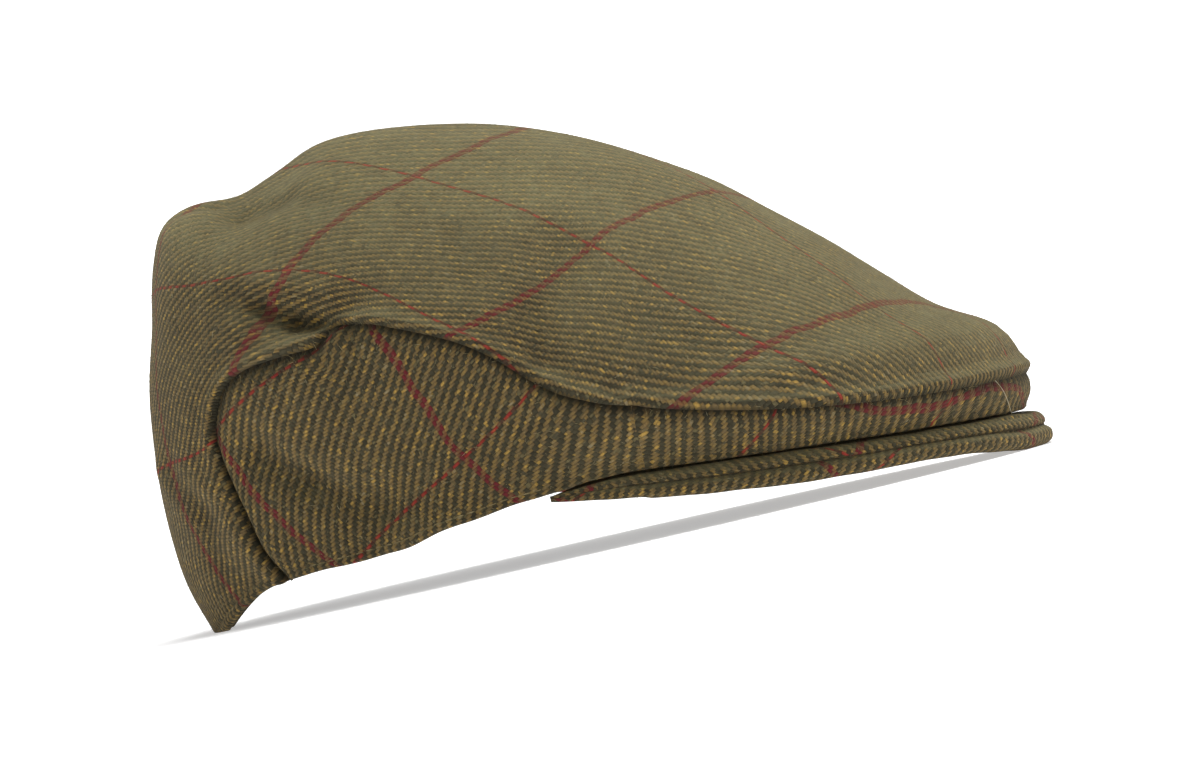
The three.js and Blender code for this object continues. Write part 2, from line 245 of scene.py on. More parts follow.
def read(column, u):
    """Spline through the rows of a column, read at u in row steps."""
    u = np.asarray(u, float)
    last = len(column) - 1
    i = np.clip(np.floor(u).astype(int), 0, last - 1)
    t = (u - i).reshape(u.shape + (1,) * (column.ndim - 1))
    ends = np.concatenate([[2 * column[0] - column[1]], column, [2 * column[-1] - column[-2]]])
    p0, p1, p2, p3 = ends[i], ends[i + 1], ends[i + 2], ends[i + 3]
    bend = 2 * p0 - 5 * p1 + 4 * p2 - p3
    twist = 3 * (p1 - p2) + p3 - p0
    return 0.5 * (2 * p1 + (p2 - p0) * t + bend * t**2 + twist * t**3)


def smooth(low, high, value):
    share = np.clip((value - low) / (high - low), 0, 1)
    return share * share * (3 - 2 * share)


def unit(vectors):
    return vectors / np.maximum(np.linalg.norm(vectors, axis=-1, keepdims=True), 1e-9)


def crown_point(u, across):
    """The top panel's smooth form: u in crown rows, across from -1, right seam, to 1, left seam."""
    row = {name: read(column, u) for name, column in CROWN.items()}
    start = np.radians(np.maximum(0, row["start"]))
    turned = start + (1 - np.abs(across)) * (math.pi / 2 - start)
    ahead = np.clip((np.sin(turned) - np.sin(start)) / (1 - np.sin(start)), 0, 1)
    outward = np.cos(turned) / np.cos(start)
    front = smooth(LAST - 4, LAST, u)
    rise = (1 - front) * ahead ** row["sag"] + front * (1 - (1 - ahead) ** FRONT_SEAM_DIP)
    x = (row["seam_x"] + (row["top_x"] - row["seam_x"]) * ahead) * CAP_LENGTH
    y = np.sign(across) * row["seam_y"] * outward * CROWN_HALF
    z = (row["seam_z"] + (row["top_z"] - row["seam_z"]) * rise) * CAP_HEIGHT
    return np.stack([x, y, z], -1)


def seam_point(tau, side):
    """The seam between the top and a side panel: tau in crown rows, then once more to the front."""
    return crown_point(np.minimum(tau, LAST), side * (1 - np.maximum(tau - LAST, 0)))


def rim_point(tau, side):
    """The lower edge of a side panel over the same range."""
    row = {name: read(column, np.minimum(tau, LAST)) for name, column in RIM.items()}
    turn = np.maximum(tau - LAST, 0) * math.pi / 2
    ahead = np.sin(turn)
    x = row["x"] * CAP_LENGTH
    x = x + (FRONT_LENGTH * CAP_LENGTH - x) * ahead
    z = row["z"] * RIM_ARCH
    z = z + (FRONT_HEIGHT * RIM_ARCH - z) * (1 - (1 - ahead) ** FRONT_RIM_DIP)
    return np.stack([x, side * row["y"] * RIM_HALF * np.cos(turn), z], -1)


def inward(points):
    """Towards the heart of the hollow, which folds and seams press towards."""
    heart = np.zeros_like(points)
    heart[..., 0] = np.clip(points[..., 0], 0.25 * CAP_LENGTH, 0.72 * CAP_LENGTH)
    heart[..., 2] = 0.3 * CAP_HEIGHT
    return unit(heart - points)


def groove(points, start, end, reach):
    """A soft groove between two points, as the share of its depth at each of the given points."""
    run = end - start
    along = np.clip((points - start) @ run / (run @ run), 0, 1)
    away = np.linalg.norm(points - start - along[..., None] * run, axis=-1) / reach
    return np.exp(-away * away)


def press(points):
    """Points of the cap moved by its folds and nudges."""
    scale = np.array([CAP_LENGTH, CROWN_HALF, CAP_HEIGHT])
    moved = np.zeros(points.shape[:-1])
    for k, depth in enumerate(FOLDS["depth"]):
        start, end = (np.array([FOLDS[axis + at][k] for axis in "xyz"]) * scale for at in "12")
        moved += depth * groove(points, start, end, FOLDS["reach"][k])
    points = points + inward(points) * moved[..., None]
    for k, reach in enumerate(NUDGES["reach"]):
        centre = np.array([NUDGES[axis][k] for axis in "xyz"])
        away = np.linalg.norm(points - centre, axis=-1) / reach
        shift = np.array([NUDGES["ahead"][k], 0, NUDGES["up"][k]])
        points = points + shift * np.exp(-away * away)[..., None]
    return points


def crown_base(u, across):
    return press(crown_point(u, across))


def side_base(tau, share, side):
    """A side panel's smooth form: share runs from the seam, 0, to the lower edge, 1."""
    seam = seam_point(tau, side)
    rim = rim_point(tau, side)
    drop = rim - seam
    tall = np.linalg.norm(drop, axis=-1, keepdims=True)
    upper = seam + drop / tall * SEAM_GAP
    share = np.asarray(share)[..., None]
    base = upper + (rim - upper) * share
    bulge = np.minimum(0.07 * tall, 2.2) * np.sin(math.pi * share)
    return press(base - inward(base) * bulge)


def grid_normals(grid):
    """Outward unit normals of a grid of points."""
    along = np.gradient(grid, axis=0)
    across = np.gradient(grid, axis=1)
    normals = unit(np.cross(along, across))
    facing = np.sum(normals * inward(grid), -1, keepdims=True)
    return np.where(facing > 0, -normals, normals)


def away_from(points, line):
    """Distance of each point from a line of closely set points."""
    flat = points.reshape(-1, 3)
    nearest = np.full(len(flat), np.inf)
    for part in np.array_split(line, max(1, len(line) // 60)):
        gaps = flat[:, None, :] - part[None, :, :]
        nearest = np.minimum(nearest, np.sqrt((gaps * gaps).sum(-1)).min(1))
    return nearest.reshape(points.shape[:-1])


def profile(shape, away):
    return np.interp(away, shape["away"].astype(float), shape["rise"].astype(float))


# Stations of the coarse grids that are laid out flat, in steps per row of the tables, then the
# nodes that become the origin and a point straight ahead of it, and the rounds that it takes
ROW_STEPS = 3
FRONT_STEPS = 16
COARSE_ROWS = np.arange(0, LAST * ROW_STEPS + 1) / ROW_STEPS
COARSE_ACROSS = np.linspace(-1, 1, 25)
COARSE_TAU = np.concatenate([COARSE_ROWS, LAST + np.arange(1, FRONT_STEPS + 1) / FRONT_STEPS])
COARSE_SHARE = np.linspace(0, 1, 6)
CROWN_ORIGIN, CROWN_AHEAD = (24, 12), (30, 12)
SIDE_ORIGIN, SIDE_AHEAD = (24, 3), (33, 3)
FLATTEN_ROUNDS = 120


def flatten(grid, guess):
    """Lays a grid of points out flat with as little stretch as it can, as the cloth was cut."""
    rows, columns = grid.shape[:2]
    index = np.arange(rows * columns).reshape(rows, columns)
    a, b, c, d = index[:-1, :-1], index[:-1, 1:], index[1:, 1:], index[1:, :-1]
    faces = np.concatenate([np.stack(f, -1).reshape(-1, 3) for f in ((a, b, c), (a, c, d))])
    points = grid.reshape(-1, 3)
    first, second, third = points[faces[:, 0]], points[faces[:, 1]], points[faces[:, 2]]
    base = second - first
    length = np.linalg.norm(base, axis=1)
    level = base / length[:, None]
    reach = third - first
    ahead = (reach * level).sum(1)
    tall = np.linalg.norm(reach - ahead[:, None] * level, axis=1)
    zero = np.zeros(len(faces))
    placed = guess.reshape(-1, 2).astype(float)
    one, two = placed[faces[:, 1]] - placed[faces[:, 0]], placed[faces[:, 2]] - placed[faces[:, 0]]
    tall = tall * np.sign((one[:, 0] * two[:, 1] - one[:, 1] * two[:, 0]).sum())
    corners = ((zero, zero), (length, zero), (ahead, tall))
    flat = np.stack([np.stack(corner, -1) for corner in corners], 1)
    weights = []
    for k in range(3):
        one = flat[:, k] - flat[:, (k + 2) % 3]
        two = flat[:, (k + 1) % 3] - flat[:, (k + 2) % 3]
        area = np.abs(one[:, 0] * two[:, 1] - one[:, 1] * two[:, 0])
        weights.append(np.clip((one * two).sum(1) / np.maximum(area, 1e-9), 0.05, 20))
    pull = np.zeros((len(points), len(points)))
    for k in range(3):
        i, j = faces[:, k], faces[:, (k + 1) % 3]
        np.add.at(pull, (i, i), weights[k])
        np.add.at(pull, (j, j), weights[k])
        np.add.at(pull, (i, j), -weights[k])
        np.add.at(pull, (j, i), -weights[k])
    pull[0, 0] += 1
    solve = np.linalg.inv(pull)
    for step in range(FLATTEN_ROUNDS):
        wanted = np.zeros_like(placed)
        cosine, sine = zero.copy(), zero.copy()
        for k in range(3):
            edge = flat[:, k] - flat[:, (k + 1) % 3]
            now = placed[faces[:, k]] - placed[faces[:, (k + 1) % 3]]
            cosine += weights[k] * (edge * now).sum(1)
            sine += weights[k] * (edge[:, 0] * now[:, 1] - edge[:, 1] * now[:, 0])
        size = np.maximum(np.hypot(cosine, sine), 1e-9)
        cosine, sine = cosine / size, sine / size
        for k in range(3):
            edge = flat[:, k] - flat[:, (k + 1) % 3]
            turned = [cosine * edge[:, 0] - sine * edge[:, 1], sine * edge[:, 0] + cosine * edge[:, 1]]
            turned = np.stack(turned, -1)
            np.add.at(wanted, faces[:, k], weights[k][:, None] * turned)
            np.add.at(wanted, faces[:, (k + 1) % 3], -weights[k][:, None] * turned)
        wanted[0] += placed[0]
        placed = solve @ wanted
    return placed.reshape(rows, columns, 2)


def settled(flat, origin, ahead):
    """A flattened grid moved so that one of its nodes is the origin and another lies along +u."""
    moved = flat - flat[origin]
    heading = moved[ahead] / np.linalg.norm(moved[ahead])
    return np.stack([moved @ heading, moved @ np.array([-heading[1], heading[0]])], -1)


def resample(grid, i, j):
    """A grid read at fractional rows i and columns j."""
    return np.swapaxes(read(np.swapaxes(read(grid, i), 0, 1), j), 0, 1)


def lay_out_crown():
    grid = crown_base(*np.meshgrid(COARSE_ROWS, COARSE_ACROSS, indexing="ij"))
    middle = CROWN_ORIGIN[1]
    along = np.repeat(lengths(grid[:, middle])[:, None], len(COARSE_ACROSS), 1)
    flat = flatten(grid, np.stack([along, row_lengths(grid, middle)], -1))
    return settled(flat, CROWN_ORIGIN, CROWN_AHEAD)


def lay_out_side(side):
    grid = side_base(*np.meshgrid(COARSE_TAU, COARSE_SHARE, indexing="ij"), side)
    middle = SIDE_ORIGIN[1]
    along = np.repeat(lengths(grid[:, middle])[:, None], len(COARSE_SHARE), 1)
    flat = flatten(grid, np.stack([-side * along, -row_lengths(grid, middle)], -1))
    return settled(flat, SIDE_ORIGIN, SIDE_AHEAD) * -side


def peak_profile(tau, side):
    """Sections of the peak as a grid of points, from its inner edge over the top and the rolled
    edge, and back along the under face."""
    crown_edge = press(rim_point(tau, side))
    step = 0.05
    run = rim_point(np.minimum(LAST + 1, tau + step), side) - rim_point(tau - step, side)
    outward = unit(np.stack([run[:, 1], -run[:, 0], 0 * run[:, 0]], -1))
    level = inward(crown_edge) * np.array([1, 1, 0])
    outward = outward * np.where((outward * level).sum(1) > 0, -1, 1)[:, None]
    wing = (tau - WING_ROW) / (LAST - WING_ROW) * WING_SHARE
    share = np.where(tau <= LAST, wing, WING_SHARE + (1 - WING_SHARE) * (tau - LAST))
    row = {name: read(column, share * (len(PEAK["out"]) - 1)) for name, column in PEAK.items()}
    overhang = row["out"] * PEAK_OVERHANG
    lowest = np.maximum(0, row["edge_z"] * RIM_ARCH)
    seat_z = crown_edge[:, 2] - SEAM_GAP
    tall = seat_z - lowest
    thick = np.minimum(PEAK_THICKNESS * 1.2, tall * 0.6)
    front = rim_point(np.array([LAST + 1.0]), side)[0]
    wing_edge = rim_point(np.array([WING_ROW]), side)[0]
    turn = share * math.pi / 2
    inner_half = (RIM_HALF - PEAK_WING) / math.cos(WING_SHARE * math.pi / 2)
    inner_front = front[0] - PEAK_DEPTH
    inner_top = front[2] + PEAK_DEPTH * math.tan(PEAK_PITCH)
    wing_top = wing_edge[2] - SEAM_GAP
    inner = np.stack([
        wing_edge[0] + (inner_front - wing_edge[0]) * np.sin(turn),
        side * inner_half * np.cos(turn),
        wing_top + (inner_top - wing_top) * row["rise"],
    ], -1)
    seat = crown_edge - outward * (CLOTH + SEAM_GAP)
    seat[:, 2] = seat_z
    down = np.array([0, 0, 1.0])
    under_seat = seat - down * thick[:, None]
    inner_under = inner - down * np.minimum(PEAK_THICKNESS, thick)[:, None]
    points = [inner + (seat - inner) * k for k in (0, 0.02, 0.2, 0.4, 0.6, 0.8, 0.93)] + [seat]
    for reach, height in zip(PEAK_EDGE["reach"], PEAK_EDGE["height"]):
        point = crown_edge + outward * (reach * overhang)[:, None]
        point[:, 2] = lowest + height * tall
        points.append(point)
    points += [under_seat + (inner_under - under_seat) * k for k in (0, 0.2, 0.4, 0.6, 0.8, 0.97)]
    return np.stack(points, 1)


def peak_grid(per_row, per_front):
    """The peak's cloth from the tip of the right wing round the front to the left one."""
    rear = np.arange(WING_ROW, LAST, 1 / per_row)
    tau = np.concatenate([rear, LAST + np.arange(0, per_front + 1) / per_front])
    right = peak_profile(tau, -1)
    left = peak_profile(tau[:-1], 1)[::-1]
    return np.concatenate([right, left])


# Blender pieces
PEAK_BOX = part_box("peak")
SHIFT = np.array([
    PEAK_BOX[1].x / MM - FRONT_LENGTH * CAP_LENGTH - PEAK_OVERHANG,
    (PEAK_BOX[0].y + PEAK_BOX[1].y) / 2 / MM,
    0,
])

# The photograph's camera: the cap leans back a little in the picture
TILT = math.radians(12.85)
PIXELS_PER_MM = 3.178
PICTURE_LEFT = 225
PICTURE_LOW = 630

# Overcheck lines read off the photograph, in its pixels: panel 0 is the top and 1 the right side,
# system 0 the double dark red yarns and 1 the single bright red ones, and count tells them apart.
# A count with a fraction is a place between two lines, judged by the lean of the ribs there.
LINES = table("panel system count px py", [(*line, *spot) for line, spots in (
    ((0, 0, 0), ((500, 137), (460, 157), (420, 178), (340, 225))),
    ((0, 0, 0), ((300, 270), (279, 308), (260, 350), (237, 377))),
    ((0, 0, 1), ((740, 195), (680, 198), (630, 220), (590, 245), (520, 300), (460, 332))),
    ((0, 0, 2), ((920, 304), (860, 308), (810, 325), (760, 345), (700, 385))),
    ((0, 0, -1), ((162, 270), (171, 473), (185, 492), (205, 540), (236, 592))),
    ((0, 1, 0), ((290, 168), (345, 163), (420, 178), (500, 206))),
    ((0, 1, 0), ((590, 245), (680, 303), (760, 345), (840, 393))),
    ((0, 1, 1), ((162, 288), (230, 280), (300, 270), (355, 281), (410, 304), (460, 332), (525, 372))),
    ((0, 1, 2), ((161, 467), (188, 454), (218, 436))),
    ((0, 0, -0.56), ((250, 540),)),
    ((0, 0, -0.75), ((225, 520),)),
    ((0, 1, 2.2), ((200, 500),)),
    ((0, 1, 2.46), ((205, 540),)),
    ((0, 1, 2.6), ((250, 540),)),
    ((0, 1, 2.79), ((235, 590),)),
    ((1, 0, 0), ((378, 329), (430, 402), (465, 452), (515, 494))),
    ((1, 0, -1), ((232, 452), (252, 477), (275, 507), (305, 537), (342, 557))),
    ((1, 0, 1), ((862, 409), (900, 406), (940, 400), (990, 391), (1012, 387))),
    ((1, 0, 0.89), ((865, 430),)),
    ((1, 0, 0.9), ((950, 418),)),
    ((1, 0, 0.89), ((1010, 409),)),
    ((1, 0, 0.7), ((770, 440),)),
    ((1, 0, 0.88), ((770, 412),)),
    ((1, 0, 0.25), ((600, 470),)),
    ((1, 0, 0.48), ((680, 452),)),
    ((1, 1, 0), ((528, 392), (465, 452), (420, 498), (368, 545))),
    ((1, 1, -1), ((310, 358), (275, 377), (247, 396), (232, 412))),
    ((1, 1, 1), ((763, 411), (755, 432), (746, 442))),
    ((1, 1, 2), ((943, 400), (931, 418))),
) for spot in spots])

# Length of the overcheck's repeat each way, in millimetres and in yarns, and how far a line that
# was read off pulls the even check, with how softly it pulls
DARK_PERIOD = 70
GOLD_PERIOD = 58
DARK_COUNT = round(DARK_PERIOD / DARK_PITCH)
GOLD_COUNT = round(GOLD_PERIOD / GOLD_PITCH)
PULL_REACH = 42
PULL_SLACK = 0.02


def in_picture(points):
    """Where a point of the cap lies in the photograph."""
    ahead = points[..., 0] * math.cos(TILT) - points[..., 2] * math.sin(TILT)
    up = points[..., 0] * math.sin(TILT) + points[..., 2] * math.cos(TILT)
    return np.stack([PICTURE_LEFT + PIXELS_PER_MM * ahead, PICTURE_LOW - PIXELS_PER_MM * up], -1)


def weave_counts(flat, grid, normals, panel):
    """Overcheck counts over a laid-out panel: an even check at the cloth's own spacing, pulled
    softly onto the lines that the photograph shows."""
    seen = (normals[..., 1] < -0.05) & (grid[..., 1] < 0)
    picture, places = in_picture(grid[seen]), flat[seen]
    found = []
    for k in np.flatnonzero(LINES["panel"] == panel):
        gaps = np.linalg.norm(picture - np.array([LINES["px"][k], LINES["py"][k]]), axis=1)
        found.append(places[gaps.argmin()])
    found = np.array(found)
    system = LINES["system"][LINES["panel"] == panel]
    count = LINES["count"][LINES["panel"] == panel]
    headings = []
    for which in (0, 1):
        rows = np.column_stack([found[system == which], np.ones((system == which).sum())])
        slope = np.linalg.lstsq(rows, count[system == which], rcond=None)[0]
        headings.append(math.atan2(slope[1], slope[0]))
    square = (headings[1] - headings[0] + math.pi) % (2 * math.pi) - math.pi
    lean = math.copysign((abs(square) - math.pi / 2) / 2, square)
    turned = (headings[0] + lean, headings[1] - lean)
    counts = []
    for which, period in ((0, DARK_PERIOD), (1, GOLD_PERIOD)):
        heading = np.array([math.cos(turned[which]), math.sin(turned[which])])
        known = found[system == which]
        missed = count[system == which] - known @ heading / period
        even = flat @ heading / period + missed.mean()
        spans = np.linalg.norm(known[:, None] - known[None], axis=2)
        pulls = np.exp(-(spans / PULL_REACH) ** 2 / 2) + PULL_SLACK * np.eye(len(known))
        for point, pull in zip(known, np.linalg.solve(pulls, missed - missed.mean())):
            away = np.linalg.norm(flat - point, axis=-1) / PULL_REACH
            even = even + pull * np.exp(-away * away / 2)
        counts.append(even)
    return np.stack([counts[0] * DARK_COUNT, counts[1] * GOLD_COUNT], -1)


def with_light(counts, light):
    return np.concatenate([counts, light[..., None]], -1)


# Creases that are too fine for the solids, as soft grooves between two points of the photograph,
# with depth and half width in millimetres. A depth below zero stands proud.
CREASES = table("panel x1 y1 x2 y2 depth reach", [
    (0, 342, 330, 300, 318, 3.2, 2.6),
    (0, 300, 318, 262, 309, 2.5, 2.8),
    (0, 342, 326, 240, 302, 1.2, 7),
    (0, 262, 309, 225, 300, 0.8, 5),
    (0, 325, 300, 265, 290, -1.6, 6),
    (0, 330, 345, 250, 366, -1.2, 5),
    (0, 229, 203, 240, 215, 1.6, 6),
    (0, 200, 207, 212, 222, -1.0, 8),
    (0, 170, 220, 178, 232, -1.5, 8),
    (0, 246, 214, 285, 200, 1.4, 6),
    (0, 285, 200, 330, 204, 1.0, 7),
    (0, 178, 222, 205, 212, 1.2, 5),
    (0, 188, 466, 215, 484, -1.1, 6),
    (0, 215, 484, 245, 526, -1.5, 6),
    (0, 245, 526, 267, 558, -1.2, 6),
    (0, 178, 478, 206, 512, 1.0, 6),
    (0, 206, 512, 226, 560, 1.2, 6),
    (0, 545, 360, 530, 320, 1.0, 6),
    (0, 470, 240, 478, 275, 0.8, 8),
    (0, 640, 325, 700, 335, 0.8, 8),
    (1, 268, 452, 318, 478, 1.5, 5),
    (1, 318, 478, 378, 500, 1.3, 6),
    (1, 300, 446, 350, 470, -1.0, 6),
    (1, 262, 395, 300, 380, -0.8, 9),
    (1, 356, 338, 352, 366, 1.2, 4.5),
    (1, 400, 532, 440, 520, -0.9, 5),
])


def in_view(grid, normals, px, py):
    """The place of the grid's node that shows at a point of the photograph."""
    seen = (normals[..., 1] < -0.05) & (grid[..., 1] < 2)
    gaps = np.linalg.norm(in_picture(grid) - np.array([px, py]), axis=-1)
    return np.unravel_index(np.where(seen, gaps, np.inf).argmin(), gaps.shape)


def creased(base, normals, panel):
    """How far fine creases move each node of a panel outward."""
    moved = np.zeros(base.shape[:-1])
    for k in np.flatnonzero(CREASES["panel"] == panel):
        start = base[in_view(base, normals, CREASES["x1"][k], CREASES["y1"][k])]
        end = base[in_view(base, normals, CREASES["x2"][k], CREASES["y2"][k])]
        moved -= CREASES["depth"][k] * groove(base, start, end, CREASES["reach"][k])
    return moved


def ripples(points, waves, longest, shortest, seed):
    """Small seeded waves in the cloth, about one high."""
    chance = np.random.default_rng(seed)
    total = np.zeros(points.shape[:-1])
    for wave in range(waves):
        heading = unit(chance.normal(size=3))
        length = chance.uniform(shortest, longest)
        total += np.cos(points @ heading * 2 * math.pi / length + chance.uniform(0, 2 * math.pi))
    return total / math.sqrt(waves / 2) / 2


# Steps away from an edge at which the grids are finest
SEAM_MARKS = np.array([0, 0.3, 0.7, 1.2, 1.8, 2.6, 3.6, 5, 7, 10])
HEM_MARKS = np.array([0, 0.3, 0.6, 0.9, 1.4, 1.9, 2.4, 2.8, 3.1, 3.4, 3.8, 4.8, 6.5])


def spread(length, low, high, middle):
    """Places across a row: fine marks near both ends and even steps between."""
    scale = min(1, 0.42 * length / max(low[-1], high[-1]))
    low, high = low * scale, high * scale
    between = np.linspace(low[-1], length - high[-1], middle + 2)[1:-1]
    return np.concatenate([low, between, length - high[::-1]])


def read_rows(coarse, i, j):
    """A coarse grid read at row i[k] and, along that row, at columns j[k]."""
    return np.stack([read(line, where) for line, where in zip(read(coarse, i), j)])


def fine_rows(line_at, stations, dense, low, high, middle):
    """Shares along each row of a fine grid, and the distances of its nodes from both row ends."""
    share, before, after = [], [], []
    for row in stations:
        along = lengths(line_at(np.full(len(dense), row), dense))
        places = spread(along[-1], low, high, middle)
        share.append(np.interp(places, along, dense))
        before.append(places)
        after.append(along[-1] - places)
    return np.array(share), np.array(before), np.array(after)


# The fine grids: rows to each row of the tables and round the front, points to measure a row by,
# and even steps between the marks of its two ends
FINE_ROWS = 14
SIDE_FRONT_ROWS = 71
PEAK_FRONT_ROWS = 70
DENSE_ACROSS = np.linspace(-1, 1, 601)
DENSE_SHARE = np.linspace(0, 1, 201)
CROWN_MIDDLE = 92
SIDE_MIDDLE = 40

# Ripples and puckers of each panel: how high, and how many waves, the longest, the shortest and
# the seed
RIPPLE = 0.45
CROWN_PUCKER = 0.22
SIDE_PUCKER = 0.2
PEAK_RIPPLE = 0.25
CROWN_RIPPLES = (14, 60, 26, 3)
CROWN_PUCKERS = (10, 14, 8, 5)
SIDE_RIPPLES = (14, 50, 22, 7)
SIDE_PUCKERS = (10, 15, 8, 9)
PEAK_RIPPLES = (12, 40, 14, 13)

# How thin the pressed cloth may become, and how much light a crease loses
CROWN_THINNEST = 0.82
SIDE_THINNEST = 0.85
CREASE_SHADE = 0.1


def crown_piece():
    rear = HEM_MARKS / 23
    front = LAST - np.array([1, 0.75, 0.55, 0.4, 0.28, 0.2, 0.14, 0.09, 0.05, 0.02, 0])
    u = np.concatenate([rear, np.arange(0.35, LAST - 1, 1 / FINE_ROWS), front])
    marks = (SEAM_MARKS, SEAM_MARKS, CROWN_MIDDLE)
    across, from_right, from_left = fine_rows(crown_base, u, DENSE_ACROSS, *marks)
    edge = np.minimum(from_right, from_left)
    base = crown_base(np.repeat(u[:, None], across.shape[1], 1), across)
    normals = grid_normals(base)
    front_rows = u > LAST - 3
    edge[front_rows] = np.minimum(edge[front_rows], away_from(base[front_rows], base[-1]))
    hem = np.full(edge.shape, 99.0)
    hem[u < 2] = away_from(base[u < 2], base[0])
    calm = smooth(2, 14, np.minimum(edge, hem))
    rise = profile(LIP, edge) + profile(HEM, hem) + calm * RIPPLE * ripples(base, *CROWN_RIPPLES)
    pucker = np.exp(-((edge - 3) / 4) ** 2) * ripples(base, *CROWN_PUCKERS)
    rise = np.maximum(rise + CROWN_PUCKER * pucker, -CLOTH * CROWN_THINNEST)
    moved = creased(base, normals, 0)
    folds = (moved * (0.35 + 0.65 * smooth(0, 5, edge)))[..., None]
    flat = read_rows(lay_out_crown(), u * ROW_STEPS, (across + 1) * CROWN_ORIGIN[1])
    # Painted shade: darker in the seam's trough and in creases, and a little painted light on proud folds
    light = (0.35 + 0.65 * smooth(0, 1.2, edge)) * (1 - CREASE_SHADE * np.clip(-moved, -1, 4))
    weave = with_light(weave_counts(flat, base, normals, 0), light)
    base = base + normals * folds
    thick = CLOTH - 0.25 * (edge < 0.5)
    outer = base + normals * rise[..., None]
    return outer, base - normals * thick[..., None], weave, flat, (u, across)


# How far a side panel's turning runs under the top panel, and how far below its hidden face
TURNING = 3.4
TURNING_GAP = 0.45


def turning(tau, side, grid, outer, inner):
    """Where a side panel's turning ends. grid holds the top panel's stations and shares across."""
    stations, across = grid
    hidden = inner - unit(outer - inner) * TURNING_GAP
    middle = inner.shape[1] // 2
    column = np.argmin(np.abs(SEAM_MARKS - TURNING))
    if side > 0:
        column = inner.shape[1] - 1 - column
    row = np.argmin(np.abs(np.linalg.norm(inner[:, middle] - inner[-1, middle], axis=1) - TURNING))
    beside = np.minimum(tau, stations[row])
    ahead = side * np.minimum(1 - (tau - LAST), abs(across[row, column]))
    ends = []
    for axis in range(3):
        by_side = np.interp(beside, stations, hidden[:, column, axis])
        by_front = np.interp(ahead, across[row], hidden[row, :, axis])
        ends.append(np.where(tau <= stations[row], by_side, by_front))
    return np.stack(ends, -1)


def side_piece(side, grid, top_outer, top_inner):
    rear = np.array([0, 0.03, 0.08, 0.15, 0.25, 0.4])
    front = [*(LAST + np.arange(0, SIDE_FRONT_ROWS) / SIDE_FRONT_ROWS), LAST + 0.995, LAST + 1]
    tau = np.concatenate([rear, np.arange(0.5, LAST, 1 / FINE_ROWS), front])
    marks = (SEAM_MARKS, HEM_MARKS, SIDE_MIDDLE)
    share, seam, rim = fine_rows(partial(side_base, side=side), tau, DENSE_SHARE, *marks)
    base = side_base(np.repeat(tau[:, None], share.shape[1], 1), share, side)
    base[-1, :, 1] = side * SEAM_GAP / 2
    normals = grid_normals(base)
    joint = away_from(base, base[-1])
    calm = smooth(2, 14, np.minimum(np.minimum(seam, rim), joint))
    rise = profile(DIP, seam) + profile(HEM, rim) + 0.45 * profile(DIP, joint)
    rise = rise + calm * RIPPLE * ripples(base, *SIDE_RIPPLES)
    pucker = np.exp(-((rim - 4) / 5) ** 2) + np.exp(-((seam - 4) / 4) ** 2)
    pucker = SIDE_PUCKER * pucker * ripples(base, *SIDE_PUCKERS)
    rise = np.maximum(rise + pucker, -CLOTH * SIDE_THINNEST)
    right = base * np.array([1, -side, 1])
    moved = creased(right, grid_normals(right), 1)
    folds = (moved * (0.35 + 0.65 * smooth(0, 5, seam)))[..., None]
    past = np.maximum(tau - LAST, 0)
    coarse_row = np.minimum(tau, LAST) * ROW_STEPS + past * FRONT_STEPS
    flat = read_rows(lay_out_side(side), coarse_row, share * (len(COARSE_SHARE) - 1))
    # Painted shadow under the top panel's lip along the seam, and painted shade in creases
    light = (0.22 + 0.78 * smooth(0.5, 3.6, seam)) * (0.72 + 0.28 * smooth(0, 8, seam))
    light = light * (1 - CREASE_SHADE * np.clip(-moved, -1, 4))
    weave = with_light(weave_counts(flat, base, normals, 1), light) if side < 0 else None
    base = base + normals * folds
    inner = base - normals * CLOTH
    inner[:, 0] = turning(tau, side, grid, top_outer, top_inner)
    inner[-1, 0, 1] = side * SEAM_GAP / 2
    inner[:, 1] -= normals[:, 1] * 0.4
    inner[:, 2] -= normals[:, 2] * 0.2
    return base + normals * rise[..., None], inner, weave, flat


def mesh_piece(name, points, faces, weave=None, sharp=50):
    """A piece of the cap from points in millimetres. weave holds its yarn counts and how much
    light reaches each point, if it is cloth."""
    points = (points + SHIFT) * MM
    points[:, 2] = np.maximum(points[:, 2], 0)
    mesh = bpy.data.meshes.new(name)
    mesh.from_pydata(points.tolist(), [], [tuple(face) for face in faces])
    mesh.validate()
    mesh.shade_smooth()
    mesh.set_sharp_from_angle(angle=math.radians(sharp))
    if weave is not None:
        counts = mesh.attributes.new("weave", "FLOAT_VECTOR", "POINT")
        counts.data.foreach_set("vector", weave.astype(float).ravel())
    piece = bpy.data.objects.new(name, mesh)
    bpy.context.collection.objects.link(piece)
    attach(piece, "root")
    return piece


def shell(name, outer, inner, weave):
    """A closed shell of cloth between two grids of points."""
    rows, columns = outer.shape[:2]
    index = np.arange(rows * columns).reshape(rows, columns)
    corners = (index[:-1, :-1], index[1:, :-1], index[1:, 1:], index[:-1, 1:])
    quads = np.stack(corners, -1).reshape(-1, 4)
    loop = np.concatenate([index[:-1, 0], index[-1, :-1], index[:0:-1, -1], index[0, :0:-1]])
    onward = np.roll(loop, -1)
    count = rows * columns
    walls = np.stack([onward, loop, loop + count, onward + count], -1)
    faces = np.concatenate([quads, quads[:, ::-1] + count, walls])
    middle = outer[rows // 2, columns // 2]
    along = outer[rows // 2 + 1, columns // 2] - middle
    across = outer[rows // 2, columns // 2 + 1] - middle
    if np.cross(along, across) @ inward(middle) > 0:
        faces = faces[:, ::-1]
    points = np.concatenate([outer.reshape(-1, 3), inner.reshape(-1, 3)])
    return mesh_piece(name, points, faces, np.concatenate([weave.reshape(-1, 3)] * 2))


